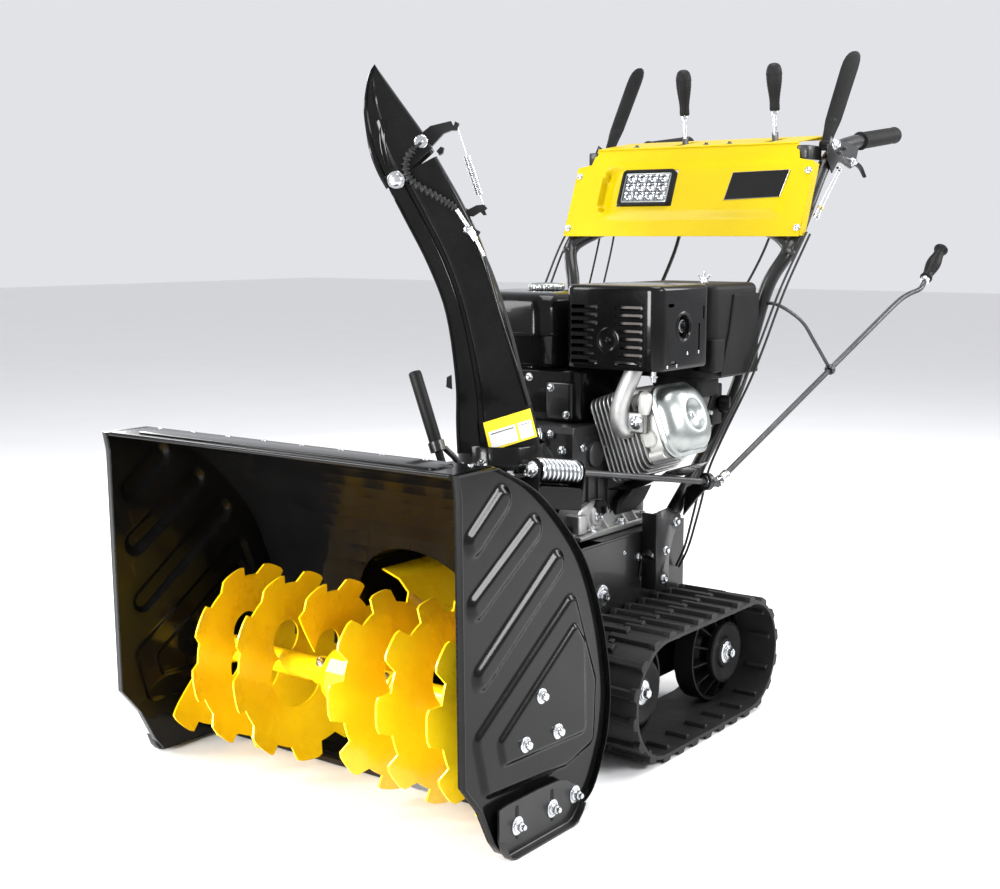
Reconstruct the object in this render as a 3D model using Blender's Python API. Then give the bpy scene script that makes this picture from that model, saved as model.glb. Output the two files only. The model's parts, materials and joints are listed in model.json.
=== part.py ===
"""Two stage snowblower on rubber tracks: bucket, augers, impeller, swivelling chute, engine, handles.

Metres, +Z up. The ground is z = 0, X = 0 is the centre plane and the bucket faces -Y, so the operator
stands at +Y and "left" (the operator's) is +X. Lengths along the machine are given as a depth behind
the bucket's front edge, which FRONT turns into Y.
"""

import math

import bmesh
import bpy
import numpy as np
from mathutils import Matrix, Vector

# Driving dimensions
FRONT = -0.875  # Y of the bucket's front edge
GAP = 0.0005  # running and seating gap between neighbouring solids
SHEET = 0.004  # bucket plate

BUCKET_HALF = 0.352  # inside of the side plates
AUGER_D, AUGER_Z = 0.200, 0.172
AUGER_R = 0.155
AUGER_TURNS = 2.6
TEETH_PER_TURN = 9
TOOTH = 0.020
IMPELLER_Z = 0.210
IMPELLER_R = 0.150
DRUM_R = 0.163
DRUM_BACK = 0.540
COVER_D0 = 0.5565
SHAFT_R = 0.0125

CHUTE_X, CHUTE_D = 0.078, 0.484
RING_Z = 0.492
RING_R = 0.085
RING_TEETH = 28
CHUTE_HEADING = (-0.8, -0.6)  # where the chute points at rest, as (X, Y)
PIVOT_F, PIVOT_Z = 0.172, 0.967  # deflector pivot: reach from the chute's axis, and height

WHEEL_Z = 0.112
REAR_D, FRONT_D = 0.873, 0.572
BELT_IN_R, BELT_OUT_R, LUG_R = 0.096, 0.104, 0.112
BELT_X0, BELT_X1 = 0.195, 0.360
WHEEL_X0, WHEEL_X1 = 0.250, 0.312
LUGS = 22

DECK_Z = 0.345
CRANK_Z = 0.430
CYL_Z = 0.4617
CYL_TILT = math.radians(20)
CYL_D = 0.790

HANDLE_R = 0.014
HANDLE = (
    (0.2058, 0.758, 0.2955), (0.2058, 0.80, 0.335), (0.2058, 0.94, 0.445), (0.206, 1.075, 0.565),
    (0.213, 1.135, 0.68), (0.232, 1.160, 0.78), (0.257, 1.187, 0.84), (0.262, 1.227, 0.885),
    (0.262, 1.33, 1.010), (0.262, 1.40, 1.055), (0.262, 1.47, 1.072), (0.262, 1.515, 1.0775),
)
GRIP_END = (0.262, 1.710, 1.1005)
LEVER_D, LEVER_Z = 1.345, 1.062
TRIGGER_D, TRIGGER_Z = 1.438, 1.030

WORM_A = (0.181, 0.455, 0.4965)
JOINT = (0.285, 0.868, 0.430)
CRANK_EYE = (0.329, 1.250, 0.612)
CRANK_END = (0.369, 1.742, 0.850)

LEVER_PLATE = (
    (1.318, 1.030), (1.315, 1.058), (1.330, 1.078), (1.348, 1.070), (1.420, 1.068),
    (1.470, 1.060), (1.452, 1.022), (1.430, 1.016), (1.370, 1.030), (1.340, 1.004),
)

BUCKET_SIDE = (
    (0.0, 0.565), (0.006, 0.535), (0.012, 0.130), (0.050, 0.084), (0.078, 0.030), (0.095, 0.009),
    (0.285, 0.009),
)
BUCKET_BACK = (
    (0.285, 0.009), (0.331, 0.028), (0.362, 0.078), (0.377, 0.125), (0.380, 0.190), (0.357, 0.292),
    (0.314, 0.388), (0.252, 0.461), (0.176, 0.523), (0.090, 0.565),
)

MATERIALS = {
    "black_paint": ((0.012, 0.012, 0.013), 0.22, 0.0),
    "frame_black": ((0.02, 0.02, 0.021), 0.45, 0.0),
    "auger_yellow": ((0.78, 0.46, 0.02), 0.3, 0.0),
    "panel_yellow": ((0.90, 0.62, 0.01), 0.35, 0.0),
    "black_plastic": ((0.018, 0.018, 0.018), 0.5, 0.0),
    "black_rubber": ((0.016, 0.016, 0.016), 0.75, 0.0),
    "engine_grey": ((0.16, 0.16, 0.165), 0.5, 0.4),
    "cast_aluminium": ((0.55, 0.55, 0.56), 0.45, 0.9),
    "bright_steel": ((0.66, 0.66, 0.68), 0.25, 1.0),
    "chrome": ((0.8, 0.8, 0.82), 0.08, 1.0),
    "dark_steel": ((0.12, 0.12, 0.125), 0.4, 1.0),
    "lamp": ((0.75, 0.76, 0.78), 0.15, 0.2),
}


def clear_scene():
    for obj in list(bpy.data.objects):
        bpy.data.objects.remove(obj, do_unlink=True)


def make_materials():
    made = {}
    for name, (colour, roughness, metallic) in MATERIALS.items():
        mat = bpy.data.materials.new(name)
        mat.use_nodes = True
        shader = mat.node_tree.nodes["Principled BSDF"]
        shader.inputs["Base Color"].default_value = (*colour, 1.0)
        shader.inputs["Roughness"].default_value = roughness
        shader.inputs["Metallic"].default_value = metallic
        mat.diffuse_color = (*colour, 1.0)
        made[name] = mat
    return made


def at(x, d, z):
    """A point given as X, depth behind the bucket's front edge, and height."""
    return Vector((x, FRONT + d, z))


def skin(loops, ring=False):
    """A closed mesh over loops of equally many points; its ends are capped unless it is a ring."""
    bm = bmesh.new()
    rows = [[bm.verts.new(p) for p in loop] for loop in loops]
    count = len(rows[0])
    pairs = list(zip(rows, rows[1:] + rows[:1])) if ring else list(zip(rows, rows[1:]))
    for a, b in pairs:
        for i in range(count):
            j = (i + 1) % count
            bm.faces.new((a[i], a[j], b[j], b[i]))
    if not ring:
        bm.faces.new(rows[0])
        bm.faces.new(rows[-1])
    bmesh.ops.recalc_face_normals(bm, faces=bm.faces)
    return bm


def box(lo, hi):
    """An upright box between two points given as (x, d, z)."""
    (x0, d0, z0), (x1, d1, z1) = lo, hi
    ring = [(x0, d0), (x1, d0), (x1, d1), (x0, d1)]
    return skin([[at(x, d, z) for x, d in ring] for z in (z0, z1)])


def prism_x(outline, x0, x1):
    """An outline of (d, z) points, extruded along X."""
    return skin([[at(x, d, z) for d, z in outline] for x in (x0, x1)])


def frame_on(direction):
    """Two unit vectors square to a direction and to each other."""
    w = Vector(direction).normalized()
    side = Vector((0, 0, 1)) if abs(w.z) < 0.9 else Vector((1, 0, 0))
    u = side.cross(w).normalized()
    return u, w.cross(u), w


def circle(centre, direction, radius, sides, start=0.0):
    u, v, _ = frame_on(direction)
    turn = [start + 2 * math.pi * i / sides for i in range(sides)]
    return [centre + radius * (math.cos(t) * u + math.sin(t) * v) for t in turn]


def turned(origin, direction, profile, sides=24, ring=False):
    """A turned solid: profile rows of (distance along the axis, radius)."""
    w = Vector(direction).normalized()
    loops = [circle(origin + w * h, w, r, sides) for h, r in profile]
    return skin(loops, ring)


def rod(a, b, radius, sides=16):
    return skin([circle(p, b - a, radius, sides) for p in (a, b)])


def smooth_path(points, steps):
    """A Catmull-Rom curve through the points, with a number of steps between each two."""
    pts = [Vector(p) for p in points]
    pts = [2 * pts[0] - pts[1]] + pts + [2 * pts[-1] - pts[-2]]
    out = []
    for p0, p1, p2, p3 in zip(pts, pts[1:], pts[2:], pts[3:]):
        for i in range(steps):
            t = i / steps
            out.append(0.5 * (2 * p1 + (p2 - p0) * t + (2 * p0 - 5 * p1 + 4 * p2 - p3) * t * t
                              + (3 * p1 - p0 - 3 * p2 + p3) * t ** 3))
    return out + [pts[-2]]


def tube(points, radius, sides=10):
    """A round bar along a path, its sections carried along without twisting."""
    pts = [Vector(p) for p in points]
    ways = [(b - a).normalized() for a, b in zip(pts, pts[1:])]
    ways = [ways[0]] + [(a + b).normalized() for a, b in zip(ways, ways[1:])] + [ways[-1]]
    u = frame_on(ways[0])[0]
    radii = radius if isinstance(radius, (list, tuple)) else [radius] * len(pts)
    loops = []
    for p, w, r in zip(pts, ways, radii):
        u = (u - w * u.dot(w)).normalized()
        v = w.cross(u)
        turn = [2 * math.pi * i / sides for i in range(sides)]
        loops.append([p + r * (math.cos(t) * u + math.sin(t) * v) for t in turn])
    return skin(loops)


def temporary(bm):
    mesh = bpy.data.meshes.new("tool")
    bm.to_mesh(mesh)
    bm.free()
    obj = bpy.data.objects.new("tool", mesh)
    bpy.context.scene.collection.objects.link(obj)
    return obj


def combined(base, plus=(), minus=()):
    """The base mesh with others joined to it, then others cut out of it, by Boolean modifiers."""
    obj = temporary(base)
    tools = []
    for operation, group in (("UNION", plus), ("DIFFERENCE", minus)):
        for bm in group:
            tool = temporary(bm)
            modifier = obj.modifiers.new("cut", "BOOLEAN")
            modifier.operation = operation
            modifier.object = tool
            modifier.solver = "EXACT"
            tools.append(tool)
    graph = bpy.context.evaluated_depsgraph_get()
    result = bmesh.new()
    result.from_mesh(bpy.data.meshes.new_from_object(obj.evaluated_get(graph)))
    for used in [obj, *tools]:
        bpy.data.objects.remove(used, do_unlink=True)
    return result


def node(name, material, bm, pivot=None, sharp=40):
    """Names the solid and puts its origin on its pivot, or at its own middle."""
    mesh = bpy.data.meshes.new(name)
    if pivot is None:
        corners = np.array([v.co for v in bm.verts])
        pivot = Vector((corners.min(axis=0) + corners.max(axis=0)) / 2)
    bmesh.ops.translate(bm, verts=bm.verts, vec=-pivot)
    bm.to_mesh(mesh)
    bm.free()
    mesh.shade_smooth()
    mesh.set_sharp_from_angle(angle=math.radians(sharp))
    mesh.materials.append(LOOKS[material])
    obj = bpy.data.objects.new(name, mesh)
    obj.location = pivot
    bpy.context.scene.collection.objects.link(obj)
    return obj


def pair(name, material, make, pivot=None):
    """The same piece on the left (+X) and, mirrored, on the right."""
    for side, sign in (("left", 1), ("right", -1)):
        bm = make()
        where = None if pivot is None else Vector(pivot)
        if sign < 0:
            bmesh.ops.transform(bm, matrix=Matrix.Scale(-1, 4, (1, 0, 0)), verts=bm.verts)
            bmesh.ops.reverse_faces(bm, faces=bm.faces)
            where = None if where is None else Vector((-where.x, where.y, where.z))
        node(f"{name}_{side}", material, bm, where)


def path_2d(points, steps):
    return [(p.x, p.y) for p in smooth_path([(a, b, 0) for a, b in points], steps)]


def offset(points, distance, closed=True):
    """The polyline moved to its left by a distance, with mitred corners."""
    pts = [Vector(p) for p in points]
    count = len(pts)
    out = []
    for i, p in enumerate(pts):
        before = pts[i - 1] if closed or i else None
        after = pts[(i + 1) % count] if closed or i < count - 1 else None
        normals = []
        for a, b in ((before, p), (p, after)):
            if a is not None and b is not None and (b - a).length > 1e-9:
                way = (b - a).normalized()
                normals.append(Vector((-way.y, way.x)))
        total = sum(normals[1:], normals[0].copy())
        total.normalize()
        out.append(tuple(p + total * distance / max(0.5, total.dot(normals[0]))))
    return out


def rounded(x0, x1, z0, z1, radius, steps=3):
    """A rectangle with rounded corners, as points."""
    out = []
    for cx, cz, start in ((x1 - radius, z1 - radius, 0), (x0 + radius, z1 - radius, 90),
                          (x0 + radius, z0 + radius, 180), (x1 - radius, z0 + radius, 270)):
        for i in range(steps + 1):
            t = math.radians(start + 90 * i / steps)
            out.append((cx + radius * math.cos(t), cz + radius * math.sin(t)))
    return out


def rounded_box(lo, hi, radius, edge, steps=3):
    """A box rounded at its upright corners, its top and bottom edges chamfered."""
    (x0, d0, z0), (x1, d1, z1) = lo, hi
    full = rounded(x0, x1, d0, d1, radius, steps)
    small = rounded(x0 + edge, x1 - edge, d0 + edge, d1 - edge, max(radius - edge, 0.001), steps)
    rows = ((small, z0), (full, z0 + edge), (full, z1 - edge), (small, z1))
    return skin([[at(x, d, z) for x, d in outline] for outline, z in rows])


# ---------------------------------------------------------------- bucket and augers

def bucket_outline():
    return list(BUCKET_SIDE[:-1]) + path_2d(BUCKET_BACK, 3)


def bucket_shell_path():
    """Outer face of the rolled plate, from the top front edge round the back to the floor's front."""
    back = path_2d(BUCKET_BACK, 3)[::-1]
    return [(0.001, 0.565)] + back + [(0.245, 0.009)]


def make_bucket():
    outer = bucket_shell_path()
    inner = offset(outer, -SHEET, closed=False)
    shell = prism_x(outer + inner[::-1], -BUCKET_HALF, BUCKET_HALF)
    mouth = rod(at(0, 0.22, IMPELLER_Z), at(0, 0.50, IMPELLER_Z), IMPELLER_R + 0.003, 36)
    node("auger_housing", "black_paint", combined(shell, minus=[mouth]), sharp=35)

    def side_plate():
        outline = bucket_outline()
        inset = offset(outline, 0.0035)
        x0, x1, x2 = BUCKET_HALF + GAP, BUCKET_HALF + GAP + SHEET, 0.366
        rows = ((outline, x0), (outline, x2), (inset, x2), (inset, x1))
        plate = skin([[at(x, d, z) for d, z in loop] for loop, x in rows])
        boss = rod(at(x0 - 0.014, AUGER_D, AUGER_Z), at(x0 + 0.002, AUGER_D, AUGER_Z), 0.030, 20)
        bore = rod(at(x0 - 0.03, AUGER_D, AUGER_Z), at(x0 + 0.0015, AUGER_D, AUGER_Z), 0.0130, 20)
        return combined(plate, plus=[boss], minus=[bore])

    pair("side_plate", "black_paint", side_plate)

    scraper = [(0.226, 0.0025), (0.282, 0.0025), (0.282, 0.0085), (0.231, 0.0085)]
    node("scraper_bar", "frame_black", prism_x(scraper, -BUCKET_HALF, BUCKET_HALF))

    def shoe():
        sections = ((0.083, 0.030, 0.078), (0.105, 0.0, 0.080), (0.180, 0.0, 0.080),
                    (0.262, 0.0, 0.060), (0.286, 0.024, 0.056))
        loops = []
        for d, low, top in sections:
            section = ((0.3667, low), (0.3835, low), (0.3835, low + 0.004), (0.3707, low + 0.004),
                       (0.3707, top), (0.3667, top))
            loops.append([at(x, d, z) for x, z in section])
        return skin(loops)

    pair("skid_shoe", "frame_black", shoe)


def make_drum():
    """The impeller's round housing, trimmed to the bucket's back and open where the chute starts."""
    profile = ((0.28, DRUM_R), (DRUM_BACK, DRUM_R), (DRUM_BACK, 0.014), (DRUM_BACK - 0.004, 0.014),
               (DRUM_BACK - 0.004, DRUM_R - 0.004), (0.28, DRUM_R - 0.004))
    shell = turned(at(0, 0, IMPELLER_Z), (0, 1, 0), profile, 32, ring=True)
    back = offset(bucket_shell_path(), GAP, closed=False)
    trim = prism_x([(-0.1, 0.60)] + back + [(-0.1, 0.0)], -0.3, 0.3)
    port = box((0.020, 0.430, IMPELLER_Z + 0.04), (0.136, 0.532, 0.45))
    node("impeller_drum", "black_paint", combined(shell, minus=[trim, port]), sharp=35)

    def rectangle(x0, x1, d0, d1, count=28):
        centre = Vector((CHUTE_X, (d0 + d1) / 2))
        out = []
        for i in range(count):
            t = 2 * math.pi * i / count
            c, s = math.cos(t), math.sin(t)
            reach = min(((x1 if c > 0 else x0) - centre.x) / c if abs(c) > 1e-6 else 9,
                        ((d1 if s > 0 else d0) - centre.y) / s if abs(s) > 1e-6 else 9)
            out.append((centre.x + c * reach, centre.y + s * reach))
        return out

    def ring_at(radius, count=28):
        turn = [2 * math.pi * i / count for i in range(count)]
        return [(CHUTE_X + radius * math.cos(t), CHUTE_D + radius * math.sin(t)) for t in turn]

    outer = rectangle(0.016, 0.140, 0.426, 0.536)
    inner = rectangle(0.0195, 0.1365, 0.4295, 0.5325)
    rows = ((outer, 0.24), (outer, 0.38), (ring_at(0.070), 0.462), (ring_at(0.070), 0.482),
            (ring_at(0.088), 0.482), (ring_at(0.088), 0.490), (ring_at(0.066), 0.490),
            (ring_at(0.066), 0.462), (inner, 0.38), (inner, 0.24))
    neck = skin([[at(x, d, z) for x, d in loop] for loop, z in rows], ring=True)
    seat = rod(at(0, 0.38, IMPELLER_Z), at(0, 0.60, IMPELLER_Z), DRUM_R + GAP, 32)
    worm_from, worm_to = at(*WORM_A), at(*JOINT)
    way = (worm_to - worm_from).normalized()
    relief = rod(worm_from - way * 0.030, worm_from + way * 0.070, 0.0220, 24)
    node("chute_base", "black_paint", combined(neck, minus=[seat, relief]), sharp=35)


def auger(sign):
    """One half of the auger: a toothed ribbon that winds round a hub tube, with arms to the hub."""
    x0, x1 = 0.052, 0.330
    steps = int(AUGER_TURNS * TEETH_PER_TURN * 4)
    loops = []
    for i in range(steps + 1):
        turns = AUGER_TURNS * i / steps
        t = 2 * math.pi * turns
        tooth = AUGER_R if i % 4 in (1, 2) else AUGER_R - TOOTH
        arm = min(abs((turns * 2) % 1), abs(1 - (turns * 2) % 1))
        inner = 0.016 if arm < 0.06 else 0.066
        x = x0 + 0.004 + (x1 - x0 - 0.012) * i / steps
        angle = sign * t
        section = []
        for r, dx in ((inner, 0.0), (tooth, -0.008), (tooth, -0.0045), (inner, 0.0035)):
            section.append(at(sign * (x + dx + 0.004), AUGER_D + r * math.cos(angle),
                              AUGER_Z + r * math.sin(angle)))
        loops.append(section)
    ribbon = skin(loops)
    hub_profile = ((x0, 0.0205), (x1, 0.0205), (x1, SHAFT_R + GAP), (x0, SHAFT_R + GAP))
    hub = turned(at(0, AUGER_D, AUGER_Z), (sign, 0, 0), hub_profile, 20, ring=True)
    bore = rod(at(sign * 0.03, AUGER_D, AUGER_Z), at(sign * 0.34, AUGER_D, AUGER_Z),
               SHAFT_R + GAP, 20)
    return combined(hub, plus=[ribbon], minus=[bore])


def make_augers():
    axis = at(0, AUGER_D, AUGER_Z)
    node("auger_left", "auger_yellow", auger(1), axis)
    node("auger_right", "auger_yellow", auger(-1), axis)
    shaft = rod(at(-0.350, AUGER_D, AUGER_Z), at(0.350, AUGER_D, AUGER_Z), SHAFT_R, 20)
    node("auger_shaft", "dark_steel", shaft, axis)

    body = turned(axis, (1, 0, 0), ((-0.049, 0.028), (-0.040, 0.046), (-0.022, 0.056),
                                    (0.022, 0.056), (0.040, 0.046), (0.049, 0.028)), 16)
    nose = rod(at(0, 0.20, 0.205), at(0, 0.300, IMPELLER_Z), 0.034, 20)
    bore_x = rod(at(-0.07, AUGER_D, AUGER_Z), at(0.07, AUGER_D, AUGER_Z), SHAFT_R + GAP, 20)
    bore_y = rod(at(0, 0.262, IMPELLER_Z), at(0, 0.32, IMPELLER_Z), 0.0120, 20)
    node("gearbox_case", "auger_yellow", combined(body, plus=[nose], minus=[bore_x, bore_y]))

    centre = at(0, 0, IMPELLER_Z)
    pulley = ((0.270, 0.0115), (0.5695, 0.0115), (0.5695, 0.085), (0.576, 0.090), (0.581, 0.076),
              (0.586, 0.090), (0.592, 0.085), (0.592, 0.020), (0.598, 0.020))
    node("impeller_shaft", "dark_steel", turned(centre, (0, 1, 0), pulley, 28), centre)

    hub = turned(centre, (0, 1, 0), ((0.392, 0.028), (0.530, 0.028), (0.530, 0.0120),
                                     (0.392, 0.0120)), 20, ring=True)
    blades = []
    for i in range(4):
        t = math.radians(45 + 90 * i)
        u, v = Vector((math.cos(t), 0, math.sin(t))), Vector((-math.sin(t), 0, math.cos(t)))
        rows = []
        for r, lean in ((0.022, 0.0), (0.110, 0.0), (0.146, 0.018)):
            rows.append([centre + Vector((0, d, 0)) + u * r + v * (lean + w)
                         for d, w in ((0.394, -0.002), (0.528, -0.002), (0.528, 0.002),
                                      (0.394, 0.002))])
        blades.append(skin(rows))
    node("impeller", "auger_yellow", combined(hub, plus=blades), centre)


# ---------------------------------------------------------------- chute

def chute_point(f, side, z):
    """A point given by its reach along the chute's heading, its sideways offset and its height."""
    hx, hy = CHUTE_HEADING
    return Vector((CHUTE_X + hx * f - hy * side, FRONT + CHUTE_D + hy * f + hx * side, z))


CHUTE_SECTIONS = (  # height and reach at the front and at the rear of each section
    ((0.075, 0.520), (-0.066, 0.520)), ((0.077, 0.570), (-0.056, 0.574)),
    ((0.078, 0.642), (-0.037, 0.641)), ((0.093, 0.750), (0.001, 0.757)),
    ((0.122, 0.830), (0.030, 0.857)), ((0.160, 0.905), (0.064, 0.930)),
    ((0.180, 0.944), (0.092, 0.980)), ((0.188, 0.962), (0.107, 1.006)),
)


def channel_loop(front, rear, half, wall):
    """The U section of the chute, open towards the front, as one closed loop of points."""
    (f0, z0), (f1, z1) = front, rear
    inset = wall / math.hypot(f0 - f1, z0 - z1)
    across = ((0, 1), (0.90, 1), (1, 0.80), (1, -0.80), (0.90, -1), (0, -1))
    out = []
    for t, s in across:
        out.append(chute_point(f0 + (f1 - f0) * t, s * half, z0 + (z1 - z0) * t))
    for t, s in reversed(across):
        shrink = (half - wall) / half
        ti = t * (1 - inset)
        out.append(chute_point(f0 + (f1 - f0) * ti, s * half * shrink, z0 + (z1 - z0) * ti))
    return out


def make_chute():
    axis = at(CHUTE_X, CHUTE_D, RING_Z)
    loops = [channel_loop(front, rear, 0.047 if i > 1 else 0.055, 0.003)
             for i, (front, rear) in enumerate(CHUTE_SECTIONS)]
    channel = skin(loops)
    teeth = []
    for i in range(RING_TEETH * 2):
        r = RING_R if i % 2 else RING_R - 0.005
        t = 2 * math.pi * i / (RING_TEETH * 2)
        teeth.append((r, t))
    rows = []
    for kind, z in (("teeth", RING_Z), ("teeth", RING_Z + 0.008), (0.0745, RING_Z + 0.008),
                    (0.0745, 0.532), (0.0690, 0.532), (0.0690, RING_Z)):
        row = []
        for r, t in teeth:
            radius = r if kind == "teeth" else kind
            row.append(at(CHUTE_X + radius * math.cos(t), CHUTE_D + radius * math.sin(t), z))
        rows.append(row)
    collar = skin(rows, ring=True)
    bracket_side = ((0.062, 0.922), (0.055, 0.905), (0.022, 0.902), (0.024, 0.912))
    lower_bracket = skin([[chute_point(f, s, z) for f, z in bracket_side]
                          for s in (-0.012, 0.012)])
    node("chute", "black_paint", combined(collar, plus=[channel, lower_bracket]), axis, sharp=35)

    side = ((0.205, 1.150), (0.217, 1.127), (0.223, 1.078), (0.217, 1.020), (0.207, 0.990),
            (0.192, 0.956), (0.176, 0.944), (0.158, 0.958), (0.145, 0.978), (0.112, 1.0165),
            (0.133, 1.050), (0.170, 1.101))
    outer = [[chute_point(f, s, z) for f, z in side] for s in (-0.0525, 0.0525)]
    hollow = ((0.240, 1.210), (0.260, 1.050), (0.230, 0.900), (0.130, 0.900), (0.108, 0.990),
              (0.1085, 1.0155), (0.1365, 1.0500), (0.1735, 1.1010), (0.2035, 1.1420))
    core = [[chute_point(f, s, z) for f, z in hollow] for s in (-0.0495, 0.0495)]
    bracket_side = ((0.1315, 1.0450), (0.081, 1.062), (0.072, 1.050), (0.1145, 1.0185))
    bracket = skin([[chute_point(f, s, z) for f, z in bracket_side] for s in (-0.012, 0.012)])
    hood = combined(skin(outer), plus=[bracket], minus=[skin(core)])
    node("deflector", "black_paint", hood, chute_point(PIVOT_F, 0, PIVOT_Z), sharp=35)

    coil_path = [chute_point(f, 0, z) for f, z in ((0.0665, 1.046), (0.061, 1.012), (0.0605, 1.008),
                                                   (0.0455, 0.950), (0.045, 0.946),
                                                   (0.0425, 0.9235))]
    node("deflector_spring", "bright_steel",
         tube(coil_path, [0.0015, 0.0015, 0.005, 0.005, 0.0015, 0.0015], 10))


# ---------------------------------------------------------------- chute crank

def make_crank():
    a, j = at(*WORM_A), at(*JOINT)
    way = (j - a).normalized()
    length = (j - a).length
    profile = [(-0.024, 0.006), (-0.013, 0.006), (-0.013, 0.0135)]
    for i in range(7):
        h = -0.011 + i * 0.012
        profile += [(h, 0.0205), (h + 0.003, 0.0205), (h + 0.0045, 0.0135), (h + 0.0085, 0.0135)]
    profile += [(0.075, 0.0135), (0.075, 0.006), (length - 0.020, 0.006),
                (length - 0.008, 0.0075), (length, 0.0085), (length + 0.006, 0.006),
                (length + 0.008, 0.003)]
    middle = a + way * 0.012
    worm = turned(a, way, profile, 14)
    node("worm_rod", "bright_steel", worm, middle)

    u, v, w = frame_on(way)
    plates = []
    for h in (-0.0200, 0.0790):
        outline = [Vector((-0.018, 0.004)), Vector((-0.014, 0.014)), Vector((0.0, 0.019)),
                   Vector((0.014, 0.014)), Vector((0.018, 0.004)), Vector((0.018, -0.062)),
                   Vector((-0.018, -0.062))]
        plates.append(skin([[a + way * (h + t) + u * p.x + v * p.y for p in outline]
                            for t in (0, 0.003)]))
    floor_pts = ((-0.015, -0.058), (0.030, -0.058), (0.030, -0.061), (-0.015, -0.061))
    floor = skin([[a + way * h + u * p + v * q for p, q in floor_pts] for h in (-0.0185, 0.0805)])
    hole = rod(a - way * 0.06, a + way * 0.11, 0.0065, 14)
    node("worm_bracket", "frame_black", combined(plates[0], plus=[plates[1], floor],
                                                 minus=[hole]))

    lug_at = a + way * (length - 0.030)
    eye = turned(lug_at, way, ((-0.006, 0.015), (0.006, 0.015), (0.006, 0.0065),
                               (-0.006, 0.0065)), 18, ring=True)
    foot = at(0.2208, 0.862, 0.388)
    arm = skin([[p + way * t + v * h for t, h in ((-0.002, 0.011), (0.002, 0.011),
                                                  (0.002, -0.011), (-0.002, -0.011))]
                for p in (lug_at, foot)])
    clear_hole = rod(lug_at - way * 0.05, lug_at + way * 0.05, 0.0065, 18)
    node("crank_support", "frame_black", combined(eye, plus=[arm], minus=[clear_hole]))

    eye_at, end = at(*CRANK_EYE), at(*CRANK_END)
    up = (eye_at - j).normalized()
    grip_dir = (end - at(0.360, 1.600, 0.730)).normalized()
    grip_start = end - grip_dir * 0.105
    path = [j + up * 0.026, j + up * 0.05, eye_at - up * 0.10, eye_at, eye_at + up * 0.15,
            at(0.352, 1.530, 0.735), at(0.357, 1.585, 0.752), grip_start - grip_dir * 0.03,
            grip_start]
    bar = tube(smooth_path(path, 3), 0.0055, 10)
    cup = turned(j, up, ((0.012, 0.0085), (0.030, 0.0085), (0.034, 0.0060)), 14)
    node("crank_rod", "bright_steel", combined(bar, plus=[cup]), j)
    grip_profile = ((0.0015, 0.010), (0.006, 0.014), (0.020, 0.0115), (0.045, 0.0150),
                    (0.075, 0.0125), (0.090, 0.0120), (0.098, 0.0155), (0.105, 0.0140))
    node("crank_grip", "black_plastic", turned(grip_start, grip_dir, grip_profile, 16))



def make_eye_bolt():
    """The bent bar that stands out from the left tube and ends in the crank rod's eye."""
    joint, eye_at = at(*JOINT), at(*CRANK_EYE)
    up = (eye_at - joint).normalized()
    ring = turned(eye_at, up, ((-0.003, 0.0115), (0.003, 0.0115), (0.003, 0.0062),
                               (-0.003, 0.0062)), 16, ring=True)
    path = smooth_path([at(0.2255, 1.153, 0.745), at(0.262, 1.146, 0.743), at(0.300, 1.172, 0.712),
                        eye_at + Vector((-0.012, -0.05, 0.06)),
                        eye_at + Vector((-0.002, -0.0055, 0.0085))], 4)
    return [ring, tube(path, 0.003, 8)]


# ---------------------------------------------------------------- tracks and frame

def belt_loop(radius_of, count):
    """Points round the two wheels; radius_of gives the distance from the wheels' centre line."""
    span = REAR_D - FRONT_D
    pitch = 2 * span + 2 * math.pi * BELT_OUT_R
    out = []
    for i in range(count):
        s = pitch * i / count
        r = radius_of(i)
        half = math.pi * BELT_OUT_R
        if s < span:
            out.append((FRONT_D + s, WHEEL_Z - r))
        elif s < span + half:
            t = (s - span) / BELT_OUT_R
            out.append((REAR_D + r * math.sin(t), WHEEL_Z - r * math.cos(t)))
        elif s < 2 * span + half:
            out.append((REAR_D - (s - span - half), WHEEL_Z + r))
        else:
            t = (s - 2 * span - half) / BELT_OUT_R
            out.append((FRONT_D - r * math.sin(t), WHEEL_Z + r * math.cos(t)))
    return out


def track_belt():
    count = LUGS * 4
    outer = belt_loop(lambda i: LUG_R if i % 4 in (1, 2) else BELT_OUT_R, count)
    inner = belt_loop(lambda i: BELT_IN_R, count)
    rows = ((outer, BELT_X0), (outer, BELT_X1), (inner, BELT_X1), (inner, BELT_X0))
    return skin([[at(x, d, z) for d, z in loop] for loop, x in rows], ring=True)


def wheel(d, rim):
    profile = ((WHEEL_X0, rim), (WHEEL_X1 - 0.006, rim), (WHEEL_X1 - 0.006, rim - 0.012),
               (WHEEL_X0 + 0.040, rim - 0.020), (WHEEL_X0 + 0.040, 0.056), (WHEEL_X1, 0.054),
               (WHEEL_X1, SHAFT_R + GAP), (WHEEL_X0, SHAFT_R + GAP))
    return turned(at(0, d, WHEEL_Z), (1, 0, 0), profile, 24, ring=True)


def track_frame():
    steps = 6
    outline = []
    for centre, start in ((REAR_D, -90), (FRONT_D, 90)):
        for i in range(steps + 1):
            t = math.radians(start + 180 * i / steps)
            outline.append((centre + 0.045 * math.cos(t), WHEEL_Z + 0.045 * math.sin(t)))
    plate = prism_x(outline, 0.204, 0.214)
    stub = rod(at(0.209, FRONT_D, WHEEL_Z), at(0.309, FRONT_D, WHEEL_Z), SHAFT_R, 20)
    hole = rod(at(0.19, REAR_D, WHEEL_Z), at(0.25, REAR_D, WHEEL_Z), SHAFT_R + GAP, 20)
    return combined(plate, plus=[stub], minus=[hole])


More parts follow.
